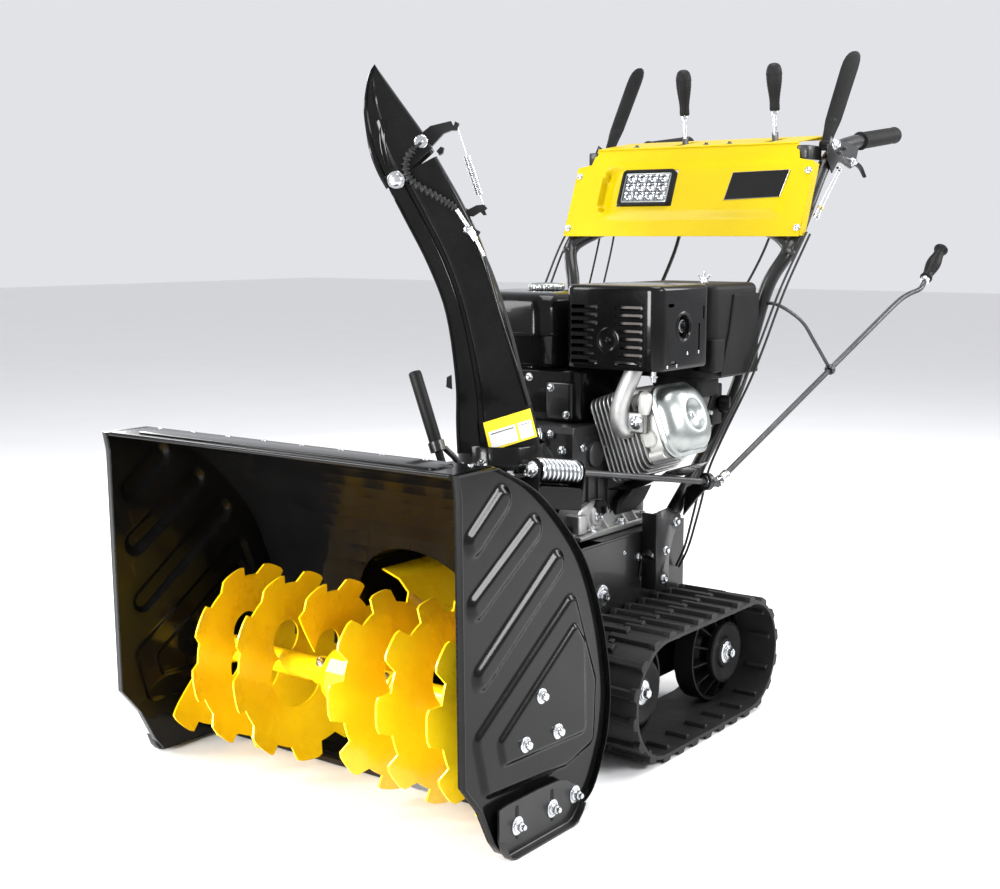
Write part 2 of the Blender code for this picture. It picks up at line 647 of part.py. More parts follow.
def make_tracks():
    pair("track_belt", "black_rubber", track_belt)
    rim = BELT_IN_R - GAP
    pair("drive_wheel", "black_plastic", lambda: wheel(REAR_D, rim), at(0.281, REAR_D, WHEEL_Z))
    pair("idler_wheel", "black_plastic", lambda: wheel(FRONT_D, rim), at(0.281, FRONT_D, WHEEL_Z))
    pair("track_frame", "frame_black", track_frame)
    axle = rod(at(-0.309, REAR_D, WHEEL_Z), at(0.309, REAR_D, WHEEL_Z), SHAFT_R, 20)
    node("rear_axle", "dark_steel", axle)

    def frame_wall(sign):
        outline = [(0.392, 0.315), (0.392, 0.240), (0.440, 0.085), (0.915, 0.085), (0.915, DECK_Z),
                   (0.560, DECK_Z)]
        return prism_x(outline, sign * 0.186, sign * 0.190)

    deck = box((-0.188, 0.636, DECK_Z - 0.004), (0.188, 0.915, DECK_Z))
    rear = box((-0.188, 0.911, 0.085), (0.188, 0.915, DECK_Z))
    cross = box((-0.188, 0.636, 0.085), (0.188, 0.640, DECK_Z))
    opening = rod(at(-0.25, REAR_D, WHEEL_Z), at(0.25, REAR_D, WHEEL_Z), SHAFT_R + GAP, 20)
    node("frame_box", "frame_black", combined(frame_wall(1), plus=[frame_wall(-1), deck, rear,
                                                                   cross], minus=[opening]))


# ---------------------------------------------------------------- engine and drive

def cyl_point(s, d, c):
    """A point on the tilted cylinder: distance along its axis, depth, and height square to it."""
    ct, st = math.cos(CYL_TILT), math.sin(CYL_TILT)
    return at(s * ct - c * st, d, CYL_Z + s * st + c * ct)


def cyl_loop(s, half_d, half_c, corner):
    outline = rounded(-half_d, half_d, -half_c, half_c, corner, 1)
    return [cyl_point(s, CYL_D + d, c) for d, c in outline]


def make_engine():
    case = rounded_box((-0.130, 0.636, DECK_Z + GAP), (0.130, 0.883, 0.540), 0.025, 0.010)
    flange = rounded_box((-0.150, 0.645, DECK_Z + GAP), (0.155, 0.860, 0.357), 0.010, 0.002)
    cut = skin([cyl_loop(s, 0.2, 0.2, 0.01) for s in (0.1345, 0.5)])
    boss = rod(at(0, 0.640, CRANK_Z), at(0, 0.6335, CRANK_Z), 0.045, 24)
    sump = rounded_box((-0.121, 0.656, 0.362), (0.121, 0.875, 0.531), 0.018, 0.008)
    bore = rod(cyl_point(0.05, CYL_D, 0), cyl_point(0.20, CYL_D, 0), 0.045, 28)
    crank_hole = rod(at(0, 0.60, CRANK_Z), at(0, 0.652, CRANK_Z), 0.0130, 20)
    node("engine_crankcase", "engine_grey", combined(case, plus=[flange, boss],
                                                     minus=[cut, crank_hole, sump, bore]))
    loops = []
    for i in range(8):
        s = 0.135 + i * 0.013
        loops += [cyl_loop(s, 0.076, 0.080, 0.014), cyl_loop(s + 0.004, 0.076, 0.080, 0.014)]
        if i < 7:
            loops += [cyl_loop(s + 0.004, 0.064, 0.068, 0.014),
                      cyl_loop(s + 0.013, 0.064, 0.068, 0.014)]
    loops += [cyl_loop(0.230, 0.060, 0.056, 0.018), cyl_loop(0.262, 0.066, 0.058, 0.02)]
    node("cylinder_block", "cast_aluminium", skin(loops), sharp=30)
    cover = [cyl_loop(s, hd, hc, r) for s, hd, hc, r in (
        (0.2625, 0.072, 0.062, 0.022), (0.2665, 0.072, 0.062, 0.022), (0.268, 0.066, 0.056, 0.022),
        (0.292, 0.060, 0.050, 0.024), (0.302, 0.046, 0.036, 0.022))]
    node("valve_cover", "chrome", skin(cover), sharp=30)

    shell = rounded_box((0.068, 0.680, 0.640), (0.266, 0.868, 0.792), 0.016, 0.005)
    hollow = rounded_box((0.0712, 0.6832, 0.610), (0.2628, 0.8648, 0.7888), 0.012, 0.004)
    outlet = rod(at(0.24, 0.7585, 0.7225), at(0.29, 0.7585, 0.7225), 0.0275, 18)
    node("muffler_guard", "black_paint", combined(shell, minus=[hollow, outlet]))
    can = rounded_box((0.085, 0.700, 0.652), (0.248, 0.845, 0.778), 0.030, 0.012)
    inside = rounded_box((0.0875, 0.7025, 0.6545), (0.2455, 0.8425, 0.7755), 0.028, 0.011)
    port = rod(at(0.235, 0.7585, 0.7225), at(0.26, 0.7585, 0.7225), 0.018, 18)
    node("muffler", "dark_steel", combined(can, minus=[inside, port]))
    elbow = [at(0.178, 0.7105, 0.545), at(0.178, 0.702, 0.546), at(0.178, 0.694, 0.556),
             at(0.178, 0.694, 0.600), at(0.178, 0.704, 0.628), at(0.178, 0.714, 0.6440)]
    node("exhaust_elbow", "cast_aluminium", tube(smooth_path(elbow, 2), 0.0125, 12))

    cover = rounded_box((0.050, 0.880, 0.615), (0.262, 1.066, 0.790), 0.020, 0.008)
    elbow = rounded_box((0.130, 0.882, 0.586), (0.235, 0.960, 0.630), 0.010, 0.004)
    hollow = rounded_box((0.053, 0.883, 0.600), (0.259, 1.063, 0.787), 0.018, 0.007)
    node("air_filter_cover", "black_plastic", combined(combined(cover, minus=[hollow]),
                                                       plus=[elbow]))
    body = rounded_box((0.165, 0.885, 0.530), (0.215, 0.985, 0.585), 0.010, 0.004)
    bowl = turned(at(0.190, 0.950, 0), (0, 0, 1), ((0.496, 0.016), (0.500, 0.020), (0.532, 0.020)),
                  18)
    knob = rod(at(0.190, 0.980, 0.560), at(0.190, 1.020, 0.560), 0.014, 14)
    node("carburetor", "cast_aluminium", combined(body, plus=[bowl, knob]))

    tank = rounded_box((-0.175, 0.655, 0.640), (0.055, 0.870, 0.776), 0.035, 0.014)
    inside = rounded_box((-0.173, 0.657, 0.642), (0.053, 0.868, 0.774), 0.033, 0.013)
    filler = rod(at(-0.044, 0.790, 0.75), at(-0.044, 0.790, 0.80), 0.021, 20)
    node("fuel_tank", "black_paint", combined(tank, minus=[inside, filler]))
    cap = turned(at(-0.044, 0.790, 0), (0, 0, 1), ((0.7765, 0.030), (0.778, 0.034), (0.787, 0.034),
                                                   (0.790, 0.030)), 24)
    node("fuel_cap", "chrome", cap, at(-0.044, 0.790, 0.785))
    shroud = turned(at(0, 0, 0.476), (0, 1, 0), (
        (0.8835, 0.120), (0.889, 0.125), (0.930, 0.125), (0.945, 0.108), (0.950, 0.080),
        (0.950, 0.030), (0.947, 0.030), (0.947, 0.079), (0.9425, 0.1065), (0.929, 0.122),
        (0.889, 0.122), (0.8835, 0.117)), 28, ring=True)
    node("fan_shroud", "black_plastic", shroud)

    def hull(radius_low, radius_high, count=12):
        out = []
        for i in range(count + 1):
            t = math.pi + math.pi * i / count
            out.append((radius_low * math.cos(t), IMPELLER_Z + radius_low * math.sin(t)))
        for i in range(count + 1):
            t = math.pi * i / count
            out.append((radius_high * math.cos(t), CRANK_Z + radius_high * math.sin(t)))
        return out

    outer, inner = hull(0.110, 0.052), hull(0.107, 0.049)
    rows = ((outer, COVER_D0), (outer, 0.632), (inner, 0.632), (inner, COVER_D0 + 0.003))
    cover = skin([[at(x, d, z) for x, z in loop] for loop, d in rows])
    hole = rod(at(0, 0.54, IMPELLER_Z), at(0, 0.58, IMPELLER_Z), 0.0125, 20)
    node("belt_cover", "frame_black", combined(cover, minus=[hole]))
    pulley = ((0.570, 0.036), (0.576, 0.040), (0.581, 0.028), (0.586, 0.040), (0.592, 0.036),
              (0.604, 0.0125), (0.648, 0.0125))
    node("engine_pulley", "dark_steel", turned(at(0, 0, CRANK_Z), (0, 1, 0), pulley, 20),
         at(0, 0, CRANK_Z))
    outer, inner = hull(0.1015, 0.0470), hull(0.0940, 0.0425)
    rows = ((outer, 0.5745), (outer, 0.5875), (inner, 0.5875), (inner, 0.5745))
    node("drive_belt", "black_rubber",
         skin([[at(x, d, z) for x, z in loop] for loop, d in rows], ring=True))


# ---------------------------------------------------------------- handles and controls

def lamp_solid(slope, rows):
    """The headlamp's rounded rectangle, square to the panel: rows of (depth, margin)."""
    loops = []
    for depth, margin in rows:
        shift = Vector((0, slope.y, -slope.x)) * depth
        ring = rounded(-0.156 + margin, -0.027 - margin, 0.066 + margin, 0.149 - margin, 0.008, 2)
        loops.append([at(x, 1.192 + slope.x * t, 0.877 + slope.y * t) + shift for x, t in ring])
    return skin(loops)


def make_handles():
    left = smooth_path([at(*p) for p in HANDLE], 2)
    right = [Vector((-p.x, p.y, p.z)) for p in left]
    half = ((0.258, 1.190, 0.843), (0.247, 1.203, 0.862), (0.205, 1.222, 0.885),
            (0.130, 1.226, 0.902), (0.0, 1.226, 0.905))
    over = [at(*p) for p in half] + [at(-x, d, z) for x, d, z in half[-2::-1]]
    bar = tube(smooth_path(over, 2), 0.013, 12)
    feet = []
    for sign in (1, -1):
        outline = [(0.745, 0.262), (0.800, 0.262), (0.835, 0.338), (0.835, 0.372), (0.782, 0.372)]
        feet.append(prism_x(outline, sign * 0.1905, sign * 0.1945))
    plates = []
    for sign in (1, -1):
        plates.append(prism_x(LEVER_PLATE, sign * 0.2775, sign * 0.2810))
        plates.append(rod(at(sign * 0.262, 1.365, 1.036), at(sign * 0.279, 1.365, 1.036), 0.006, 12))
    node("handlebar", "frame_black", combined(tube(left, HANDLE_R, 10), plus=[
        bar, tube(right, HANDLE_R, 10), *feet, *plates, *make_eye_bolt()]))
    pair("grip", "black_rubber", make_grip)

    def paddle():
        up = Vector((0, 0.124, 0.190)).normalized()
        normal = Vector((0, -up.z, up.y))
        base = at(0.262, LEVER_D, LEVER_Z)
        rows = []
        for s, half, thick in ((-0.010, 0.008, 0.008), (0.012, 0.010, 0.010), (0.035, 0.0125, 0.007),
                               (0.055, 0.0165, 0.004), (0.192, 0.0200, 0.004),
                               (0.222, 0.0170, 0.004), (0.236, 0.0090, 0.004)):
            centre = base + up * s
            ring = ((-half, -thick), (half, -thick), (half, thick), (-half, thick))
            rows.append([centre + Vector((x, 0, 0)) + normal * t * 0.6 for x, t in ring])
        pin = rod(at(0.250, LEVER_D, LEVER_Z), at(0.2772, LEVER_D, LEVER_Z), 0.0045, 12)
        return combined(skin(rows), plus=[pin])

    pair("clutch_lever", "black_plastic", paddle, at(0.262, LEVER_D, LEVER_Z))

    def trigger():
        path = smooth_path([at(0.2705, TRIGGER_D, TRIGGER_Z), at(0.268, 1.480, 1.030),
                            at(0.264, 1.520, 1.022), at(0.262, 1.549, 1.004)], 3)
        return tube(path, [0.0065] * 5 + [0.006] * 3 + [0.0045] * 2, 8)

    pair("trigger", "black_plastic", trigger, at(0.262, TRIGGER_D, TRIGGER_Z))

    # the sheet panel: a sloping front with stepped top corners, a top shelf and side flanges
    slope = Vector((1.268 - 1.192, 1.064 - 0.877)).normalized()
    normal = Vector((slope.y, -slope.x)) * 0.003
    outline = ((0.279, 1.192, 0.877), (0.282, 1.2525, 1.0258), (0.248, 1.2545, 1.0307),
               (0.239, 1.2680, 1.0640))
    corners = [*outline, *[(-x, d, z) for x, d, z in reversed(outline)]]
    front = skin([[at(x, d, z) for x, d, z in corners],
                  [at(x, d + normal.x, z + normal.y) for x, d, z in corners]])
    shelf = skin([[at(x, d, z) for d, z in ((1.2655, 1.0640), (1.400, 1.0835), (1.400, 1.0805),
                                            (1.2685, 1.0610))] for x in (-0.238, 0.238)])
    sides = [skin([[at(x, d, z) for d, z in ((1.193, 0.878), (1.252, 1.024), (1.275, 1.020),
                                             (1.217, 0.878))]
                   for x in (sign * 0.2785, sign * 0.2815)]) for sign in (1, -1)]
    slots = [box((x - 0.011, 1.285, 1.03), (x + 0.011, 1.375, 1.10)) for x in (-0.054, 0.158)]
    window = lamp_solid(slope, ((-0.03, 0.0), (0.03, 0.0)))
    node("control_panel", "panel_yellow", combined(front, plus=[shelf, *sides],
                                                   minus=[*slots, window]), sharp=30)
    node("headlight", "lamp", lamp_solid(slope, ((-0.006, 0.004), (-0.003, 0.0008),
                                                 (0.026, 0.0008), (0.032, 0.010))))

    for name, x in (("speed_lever", -0.054), ("deflector_lever", 0.158)):
        base, tip = at(x, 1.335, 0.985), at(x, 1.322, 1.115)
        way = (tip - base).normalized()
        profile = ((-0.014, 0.004), (-0.006, 0.008), (0.006, 0.008), (0.014, 0.0048),
                   (0.149, 0.0048), (0.150, 0.011), (0.168, 0.0115), (0.200, 0.0165),
                   (0.225, 0.0180), (0.240, 0.0145), (0.245, 0.0070))
        node(name, "black_plastic", turned(base, way, profile, 14), base)


def make_grip():
    start, end = at(*HANDLE[-1]), at(*GRIP_END)
    way = (end - start).normalized()
    length = (end - start).length
    return turned(start, way, ((0.0005, 0.0165), (0.006, 0.0195), (0.012, 0.0170),
                               (length - 0.010, 0.0175), (length - 0.004, 0.0190),
                               (length, 0.0150)), 16)


def make_cables():
    """Two control cables on each side, run as one wire from the levers down to the frame."""
    def cable():
        points = [at(0.2790, 1.372, 1.015), at(0.2845, 1.290, 0.952), at(0.2855, 1.200, 0.870),
                  at(0.2780, 1.120, 0.775), at(0.2730, 1.045, 0.670), at(0.2690, 0.995, 0.605),
                  at(0.2400, 0.945, 0.500), at(0.2262, 0.920, 0.440), at(0.2255, 0.900, 0.390),
                  at(0.2235, 0.885, 0.350),
                  at(0.2150, 0.875, 0.300), at(0.1970, 0.876, 0.260)]
        return tube(smooth_path(points, 3), 0.0025, 8)

    pair("control_cable", "black_rubber", cable)


def make_cleanout_tool():
    a, b = at(0.055, 0.285, 0.655), at(0.098, 0.285, 0.548)
    way = (b - a).normalized()
    profile = ((-0.012, 0.006), (-0.006, 0.0105), (0.115, 0.0105), (0.119, 0.006))
    node("cleanout_tool", "black_plastic", turned(a, way, profile, 14))


clear_scene()
LOOKS = make_materials()
make_bucket()
make_drum()
make_augers()
make_chute()
make_crank()
make_tracks()
make_engine()
make_handles()
make_cables()
make_cleanout_tool()
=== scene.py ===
import json
import math

import bmesh
import bpy
import numpy as np
from mathutils import Matrix, Vector


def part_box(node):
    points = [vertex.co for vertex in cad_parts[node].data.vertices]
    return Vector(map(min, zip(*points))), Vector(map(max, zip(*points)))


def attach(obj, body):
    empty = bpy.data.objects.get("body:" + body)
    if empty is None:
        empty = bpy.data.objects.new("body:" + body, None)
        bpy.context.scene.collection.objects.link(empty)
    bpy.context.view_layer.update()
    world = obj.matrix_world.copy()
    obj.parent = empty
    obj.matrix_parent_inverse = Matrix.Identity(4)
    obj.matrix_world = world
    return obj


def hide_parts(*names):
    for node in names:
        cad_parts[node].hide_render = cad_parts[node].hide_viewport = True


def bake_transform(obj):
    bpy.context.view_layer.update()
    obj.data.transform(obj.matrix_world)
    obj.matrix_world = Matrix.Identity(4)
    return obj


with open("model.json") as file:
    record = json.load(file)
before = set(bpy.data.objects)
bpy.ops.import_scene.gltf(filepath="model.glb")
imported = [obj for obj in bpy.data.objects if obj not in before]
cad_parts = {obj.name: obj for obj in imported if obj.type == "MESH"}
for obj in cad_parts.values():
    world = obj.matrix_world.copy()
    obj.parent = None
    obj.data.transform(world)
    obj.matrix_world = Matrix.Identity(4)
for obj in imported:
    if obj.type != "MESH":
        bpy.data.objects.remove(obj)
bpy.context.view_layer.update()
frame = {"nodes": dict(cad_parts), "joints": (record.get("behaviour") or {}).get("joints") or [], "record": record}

RECORD = frame["record"]
JOINTS = {j["name"]: j for j in frame["joints"]}
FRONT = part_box("side_plate_left")[0].y  # the bucket's front edge
UP = Vector((0, 0, 1))


def at(x, d, z):
    """A point given as X, depth behind the bucket's front edge, and height."""
    return Vector((x, FRONT + d, z))


def pivot(joint):
    return Vector(JOINTS[joint]["pos_m"])


# ---------------------------------------------------------------- materials

def link(mat, a, b):
    mat.node_tree.links.new(a, b)


def add_node(mat, kind, **values):
    made = mat.node_tree.nodes.new(kind)
    for key, value in values.items():
        if key in made.inputs:
            made.inputs[key].default_value = value
        else:
            setattr(made, key, value)
    return made


def surface(name, dark, light, rough=(0.3, 0.4), metallic=0.0, coat=0.0, blotch=14.0,
        grain=(900.0, 0.02), dents=(60.0, 0.0), dust=None, coat_rough=0.04, specular=0.5,
        brushed=None):
    """A finish with uneven colour and gloss, fine grain and broad soft waves."""
    mat = bpy.data.materials.new(name)
    mat.use_nodes = True
    shader = mat.node_tree.nodes["Principled BSDF"]
    shader.inputs["Metallic"].default_value = metallic
    shader.inputs["Coat Weight"].default_value = coat
    shader.inputs["Coat Roughness"].default_value = coat_rough
    shader.inputs["Specular IOR Level"].default_value = specular
    coords = add_node(mat, "ShaderNodeTexCoord").outputs["Object"]
    patches = add_node(mat, "ShaderNodeTexNoise", Scale=blotch, Detail=5.0, Roughness=0.6)
    link(mat, coords, patches.inputs["Vector"])
    colour = add_node(mat, "ShaderNodeValToRGB")
    colour.color_ramp.elements[0].position = 0.32
    colour.color_ramp.elements[1].position = 0.68
    colour.color_ramp.elements[0].color = (*dark, 1)
    colour.color_ramp.elements[1].color = (*light, 1)
    link(mat, patches.outputs["Fac"], colour.inputs["Fac"])
    out = colour.outputs["Color"]
    if dust:
        tint, amount = dust
        specks = add_node(mat, "ShaderNodeTexNoise", Scale=230.0, Detail=6.0, Roughness=0.75)
        link(mat, coords, specks.inputs["Vector"])
        mask = add_node(mat, "ShaderNodeMapRange")
        mask.inputs["From Min"].default_value = 0.58
        mask.inputs["From Max"].default_value = 0.78
        mask.inputs["To Max"].default_value = amount
        link(mat, specks.outputs["Fac"], mask.inputs["Value"])
        mix = add_node(mat, "ShaderNodeMix", data_type="RGBA")
        mix.inputs[7].default_value = (*tint, 1)
        link(mat, mask.outputs["Result"], mix.inputs[0])
        link(mat, out, mix.inputs[6])
        out = mix.outputs[2]
    link(mat, out, shader.inputs["Base Color"])
    gloss = add_node(mat, "ShaderNodeMapRange")
    gloss.inputs["To Min"].default_value = rough[0]
    gloss.inputs["To Max"].default_value = rough[1]
    smears = add_node(mat, "ShaderNodeTexNoise", Scale=blotch * 2.6, Detail=4.0)
    link(mat, coords, smears.inputs["Vector"])
    link(mat, smears.outputs["Fac"], gloss.inputs["Value"])
    link(mat, gloss.outputs["Result"], shader.inputs["Roughness"])
    fine = add_node(mat, "ShaderNodeTexNoise", Scale=grain[0], Detail=3.0)
    if brushed:
        stretch = add_node(mat, "ShaderNodeMapping")
        stretch.inputs["Scale"].default_value = brushed
        link(mat, coords, stretch.inputs["Vector"])
        link(mat, stretch.outputs["Vector"], fine.inputs["Vector"])
    else:
        link(mat, coords, fine.inputs["Vector"])
    bump = add_node(mat, "ShaderNodeBump", Strength=grain[1], Distance=0.001)
    link(mat, fine.outputs["Fac"], bump.inputs["Height"])
    waves = add_node(mat, "ShaderNodeTexNoise", Scale=dents[0], Detail=2.0)
    link(mat, coords, waves.inputs["Vector"])
    broad = add_node(mat, "ShaderNodeBump", Strength=dents[1], Distance=0.004)
    link(mat, waves.outputs["Fac"], broad.inputs["Height"])
    link(mat, bump.outputs["Normal"], broad.inputs["Normal"])
    link(mat, broad.outputs["Normal"], shader.inputs["Normal"])
    return mat


def make_looks():
    grey = lambda v: (v, v, v * 1.03)
    return {"gloss_black": surface("gloss_black", grey(0.003), grey(0.006), (0.12, 0.2), coat=0.14,
        grain=(420.0, 0.05), dents=(16.0, 0.035), dust=(grey(0.03), 0.08), specular=0.11),
        "satin_black": surface("satin_black", grey(0.005), grey(0.01), (0.26, 0.38), coat=0.15,
        grain=(700.0, 0.1), dents=(20.0, 0.03), dust=(grey(0.05), 0.12), specular=0.28),
        "auger_yellow": surface("auger_yellow", (0.9, 0.56, 0.004), (0.98, 0.68, 0.006),
        (0.22, 0.34), coat=0.45, blotch=9.0, grain=(380.0, 0.06), dents=(24.0, 0.06),
        dust=((0.45, 0.22, 0.01), 0.2)), "panel_yellow": surface("panel_yellow",
        (0.43, 0.315, 0.0004), (0.48, 0.35, 0.0006), (0.34, 0.42), coat=0.05, blotch=6.0,
        grain=(650.0, 0.05), dents=(10.0, 0.03), specular=0.14), "plastic": surface("plastic",
        grey(0.004), grey(0.008), (0.4, 0.52), grain=(1500.0, 0.22), dents=(30.0, 0.02),
        dust=(grey(0.04), 0.06), specular=0.12), "rubber": surface("rubber", grey(0.007),
        grey(0.014), (0.5, 0.7), grain=(800.0, 0.3), dents=(70.0, 0.1),
        dust=((0.07, 0.066, 0.062), 0.4), specular=0.32), "grip": surface("grip", grey(0.006),
        grey(0.01), (0.5, 0.62), grain=(1400.0, 0.3), dust=(grey(0.04), 0.1), specular=0.14),
        "engine": surface("engine", grey(0.014), grey(0.03), (0.3, 0.46), metallic=0.25,
        grain=(520.0, 0.35), dents=(60.0, 0.1), dust=(grey(0.07), 0.4)), "casting":
        surface("casting", (0.36, 0.36, 0.355), (0.52, 0.52, 0.51), (0.34, 0.5), metallic=0.85,
        grain=(620.0, 0.4), dents=(80.0, 0.1), dust=((0.22, 0.21, 0.2), 0.5)), "head":
        surface("head", (0.5, 0.5, 0.48), (0.64, 0.64, 0.61), (0.4, 0.52), metallic=0.55,
        grain=(620.0, 0.25), dents=(60.0, 0.08), dust=((0.35, 0.34, 0.33), 0.35)), "zinc":
        surface("zinc", (0.5, 0.52, 0.54), (0.68, 0.69, 0.7), (0.16, 0.3), metallic=1.0,
        blotch=40.0, grain=(900.0, 0.08), dents=(90.0, 0.05), dust=((0.4, 0.42, 0.45), 0.4)),
        "chrome": surface("chrome", (0.3, 0.32, 0.31), (0.42, 0.45, 0.44), (0.26, 0.36),
        metallic=1.0, blotch=18.0, grain=(500.0, 0.03), dents=(26.0, 0.1)), "dark_steel":
        surface("dark_steel", grey(0.05), grey(0.09), (0.28, 0.42), metallic=0.9,
        grain=(700.0, 0.15), brushed=(1, 12, 12)), "burnt_steel": surface("burnt_steel",
        (0.11, 0.1, 0.095), (0.17, 0.16, 0.15), (0.42, 0.6), metallic=0.7, grain=(300.0, 0.25),
        dust=((0.25, 0.2, 0.15), 0.35)), "brass": surface("brass", (0.55, 0.4, 0.12),
        (0.7, 0.55, 0.2), (0.25, 0.4), metallic=1.0, blotch=50.0, grain=(700.0, 0.1)),
        "label_black": surface("label_black", grey(0.006), grey(0.009), (0.3, 0.38), coat=0.0,
        grain=(900.0, 0.04), specular=0.1), "label_yellow": surface("label_yellow",
        (0.8, 0.62, 0.02), (0.86, 0.7, 0.03), (0.35, 0.42), grain=(900.0, 0.04)), "label_white":
        surface("label_white", (0.72, 0.72, 0.7), (0.8, 0.8, 0.78), (0.35, 0.45),
        grain=(900.0, 0.04)), "reflector": surface("reflector", (0.4, 0.41, 0.43),
        (0.56, 0.57, 0.6), (0.08, 0.16), metallic=1.0, blotch=60.0, grain=(500.0, 0.02)), "floor":
        surface("floor", (0.83, 0.83, 0.83), (0.85, 0.85, 0.85), (0.55, 0.7), blotch=3.0,
        grain=(60.0, 0.01), specular=0.2),}


LOOKS = make_looks()


# ---------------------------------------------------------------- shapes, as (points, faces)

def frame_on(direction):
    """Two unit vectors square to a direction and to each other, and the direction itself."""
    w = Vector(direction).normalized()
    side = UP if abs(w.z) < 0.9 else Vector((1, 0, 0))
    u = side.cross(w).normalized()
    return u, w.cross(u), w


def circle(centre, direction, radius, sides, start=0.0):
    u, v, _ = frame_on(direction)
    turn = [start + 2 * math.pi * i / sides for i in range(sides)]
    return [centre + radius * (math.cos(t) * u + math.sin(t) * v) for t in turn]


def loft(loops, ring=False, caps=True, closed=True):
    """A skin over loops of equally many points; closed loops join their own ends."""
    n = len(loops[0])
    points = [Vector(p) for loop in loops for p in loop]
    faces = []
    rows = len(loops)
    for r in range(rows if ring else rows - 1):
        a, b = r * n, ((r + 1) % rows) * n
        for i in range(n if closed else n - 1):
            j = (i + 1) % n
            faces.append((a + i, a + j, b + j, b + i))
    if caps and closed and not ring:
        faces.append(tuple(reversed(range(n))))
        faces.append(tuple(range((rows - 1) * n, rows * n)))
    return points, faces


def turned(origin, direction, profile, sides=24, ring=False, start=0.0):
    """A turned shape: profile rows of (distance along the axis, radius)."""
    w = Vector(direction).normalized()
    return loft([circle(origin + w * h, w, r, sides, start) for h, r in profile], ring)


def rod(a, b, radius, sides=20, edge=0.0006):
    length = (b - a).length
    return turned(a, b - a, ((0, radius - edge), (edge, radius), (length - edge, radius),
        (length, radius - edge)), sides)


def spline(points, steps):
    """A Catmull-Rom curve through the points."""
    pts = [Vector(p) for p in points]
    pts = [2 * pts[0] - pts[1]] + pts + [2 * pts[-1] - pts[-2]]
    out = []
    for p0, p1, p2, p3 in zip(pts, pts[1:], pts[2:], pts[3:]):
        for i in range(steps):
            t = i / steps
            out.append(0.5 * (2 * p1 + (p2 - p0) * t + (2 * p0 - 5 * p1 + 4 * p2 - p3) * t * t +
                (3 * p1 - p0 - 3 * p2 + p3) * t ** 3))
    return out + [pts[-2]]


def tube(points, radius, sides=16, flat=1.0):
    """A round bar along a path; radius is one number or one for each point."""
    pts = [Vector(p) for p in points]
    ways = [(b - a).normalized() for a, b in zip(pts, pts[1:])]
    ways = [ways[0]] + [(a + b).normalized() for a, b in zip(ways, ways[1:])] + [ways[-1]]
    u = frame_on(ways[0])[0]
    radii = radius if isinstance(radius, (list, tuple)) else [radius] * len(pts)
    loops = []
    for p, w, r in zip(pts, ways, radii):
        u = (u - w * u.dot(w)).normalized()
        v = w.cross(u)
        turn = [2 * math.pi * i / sides for i in range(sides)]
        loops.append([p + r * (math.cos(t) * u + flat * math.sin(t) * v) for t in turn])
    return loft(loops)


def rounded(x0, x1, y0, y1, radius, steps=5):
    """A rectangle with rounded corners, as points."""
    out = []
    for cx, cy, start in ((x1 - radius, y1 - radius, 0), (x0 + radius, y1 - radius, 90),
            (x0 + radius, y0 + radius, 180), (x1 - radius, y0 + radius, 270)):
        for i in range(steps + 1):
            t = math.radians(start + 90 * i / steps)
            out.append((cx + radius * math.cos(t), cy + radius * math.sin(t)))
    return out


def soft_block(lo, hi, radius, edge, steps=5, rows=4):
    """A box with rounded upright corners and rounded top and bottom edges."""
    loops = []
    for low in (True, False):
        for i in range(rows + 1):
            t = math.pi / 2 * (i if low else rows - i) / rows
            inset = edge * (1 - math.sin(t))
            z = lo.z + edge * (1 - math.cos(t)) if low else hi.z - edge * (1 - math.cos(t))
            outline = rounded(lo.x + inset, hi.x - inset, lo.y + inset, hi.y - inset,
                max(radius - inset, 0.0008), steps)
            loops.append([Vector((x, y, z)) for x, y in outline])
    return loft(loops)


def extruded(outline, place, depth, edge=0.0):
    """An outline of 2-D points extruded; place turns (a, b, height) into a point."""
    if not edge:
        return loft([[place(a, b, h) for a, b in outline] for h in (0.0, depth)])
    small = inset_outline(outline, edge)
    rows = ((small, 0.0), (outline, edge), (outline, depth - edge), (small, depth))
    return loft([[place(a, b, h) for a, b in ring] for ring, h in rows])


def inset_outline(points, distance):
    pts = [Vector(p) for p in points]
    area = sum(a.x * b.y - b.x * a.y for a, b in zip(pts, pts[1:] + pts[:1]))
    sign = 1 if area > 0 else -1
    out = []
    for i, p in enumerate(pts):
        a = (p - pts[i - 1]).normalized()
        b = (pts[(i + 1) % len(pts)] - p).normalized()
        na, nb = Vector((-a.y, a.x)) * sign, Vector((-b.y, b.x)) * sign
        total = (na + nb)
        total = total.normalized() if total.length > 1e-6 else na
        out.append(tuple(p + total * distance / max(0.5, total.dot(na))))
    return out


def grid(nu, nv, place):
    """A sheet of points place(u, v), with u and v from 0 to 1."""
    points = [place(i / (nu - 1), j / (nv - 1)) for j in range(nv) for i in range(nu)]
    faces = [(j * nu + i, j * nu + i + 1, (j + 1) * nu + i + 1, (j + 1) * nu + i) for j in
        range(nv - 1) for i in range(nu - 1)]
    return points, faces


def panel(nu, nv, place, thick):
    """A pressed sheet of even thickness: place(u, v, inward) gives a point on either face."""
    front, faces = grid(nu, nv, lambda u, v: place(u, v, 0.0))
    back, _ = grid(nu, nv, lambda u, v: place(u, v, thick))
    n = len(front)
    faces = faces + [tuple(n + i for i in reversed(f)) for f in faces]
    rim = ([i for i in range(nu)] + [j * nu + nu - 1 for j in range(1, nv)] + [(nv - 1) * nu + i
        for i in range(nu - 2, -1, -1)] + [j * nu for j in range(nv - 2, 0, -1)])
    for a, b in zip(rim, rim[1:] + rim[:1]):
        faces.append((b, a, n + a, n + b))
    return front + back, faces


def moved(shape, matrix):
    return [matrix @ Vector(p) for p in shape[0]], shape[1]


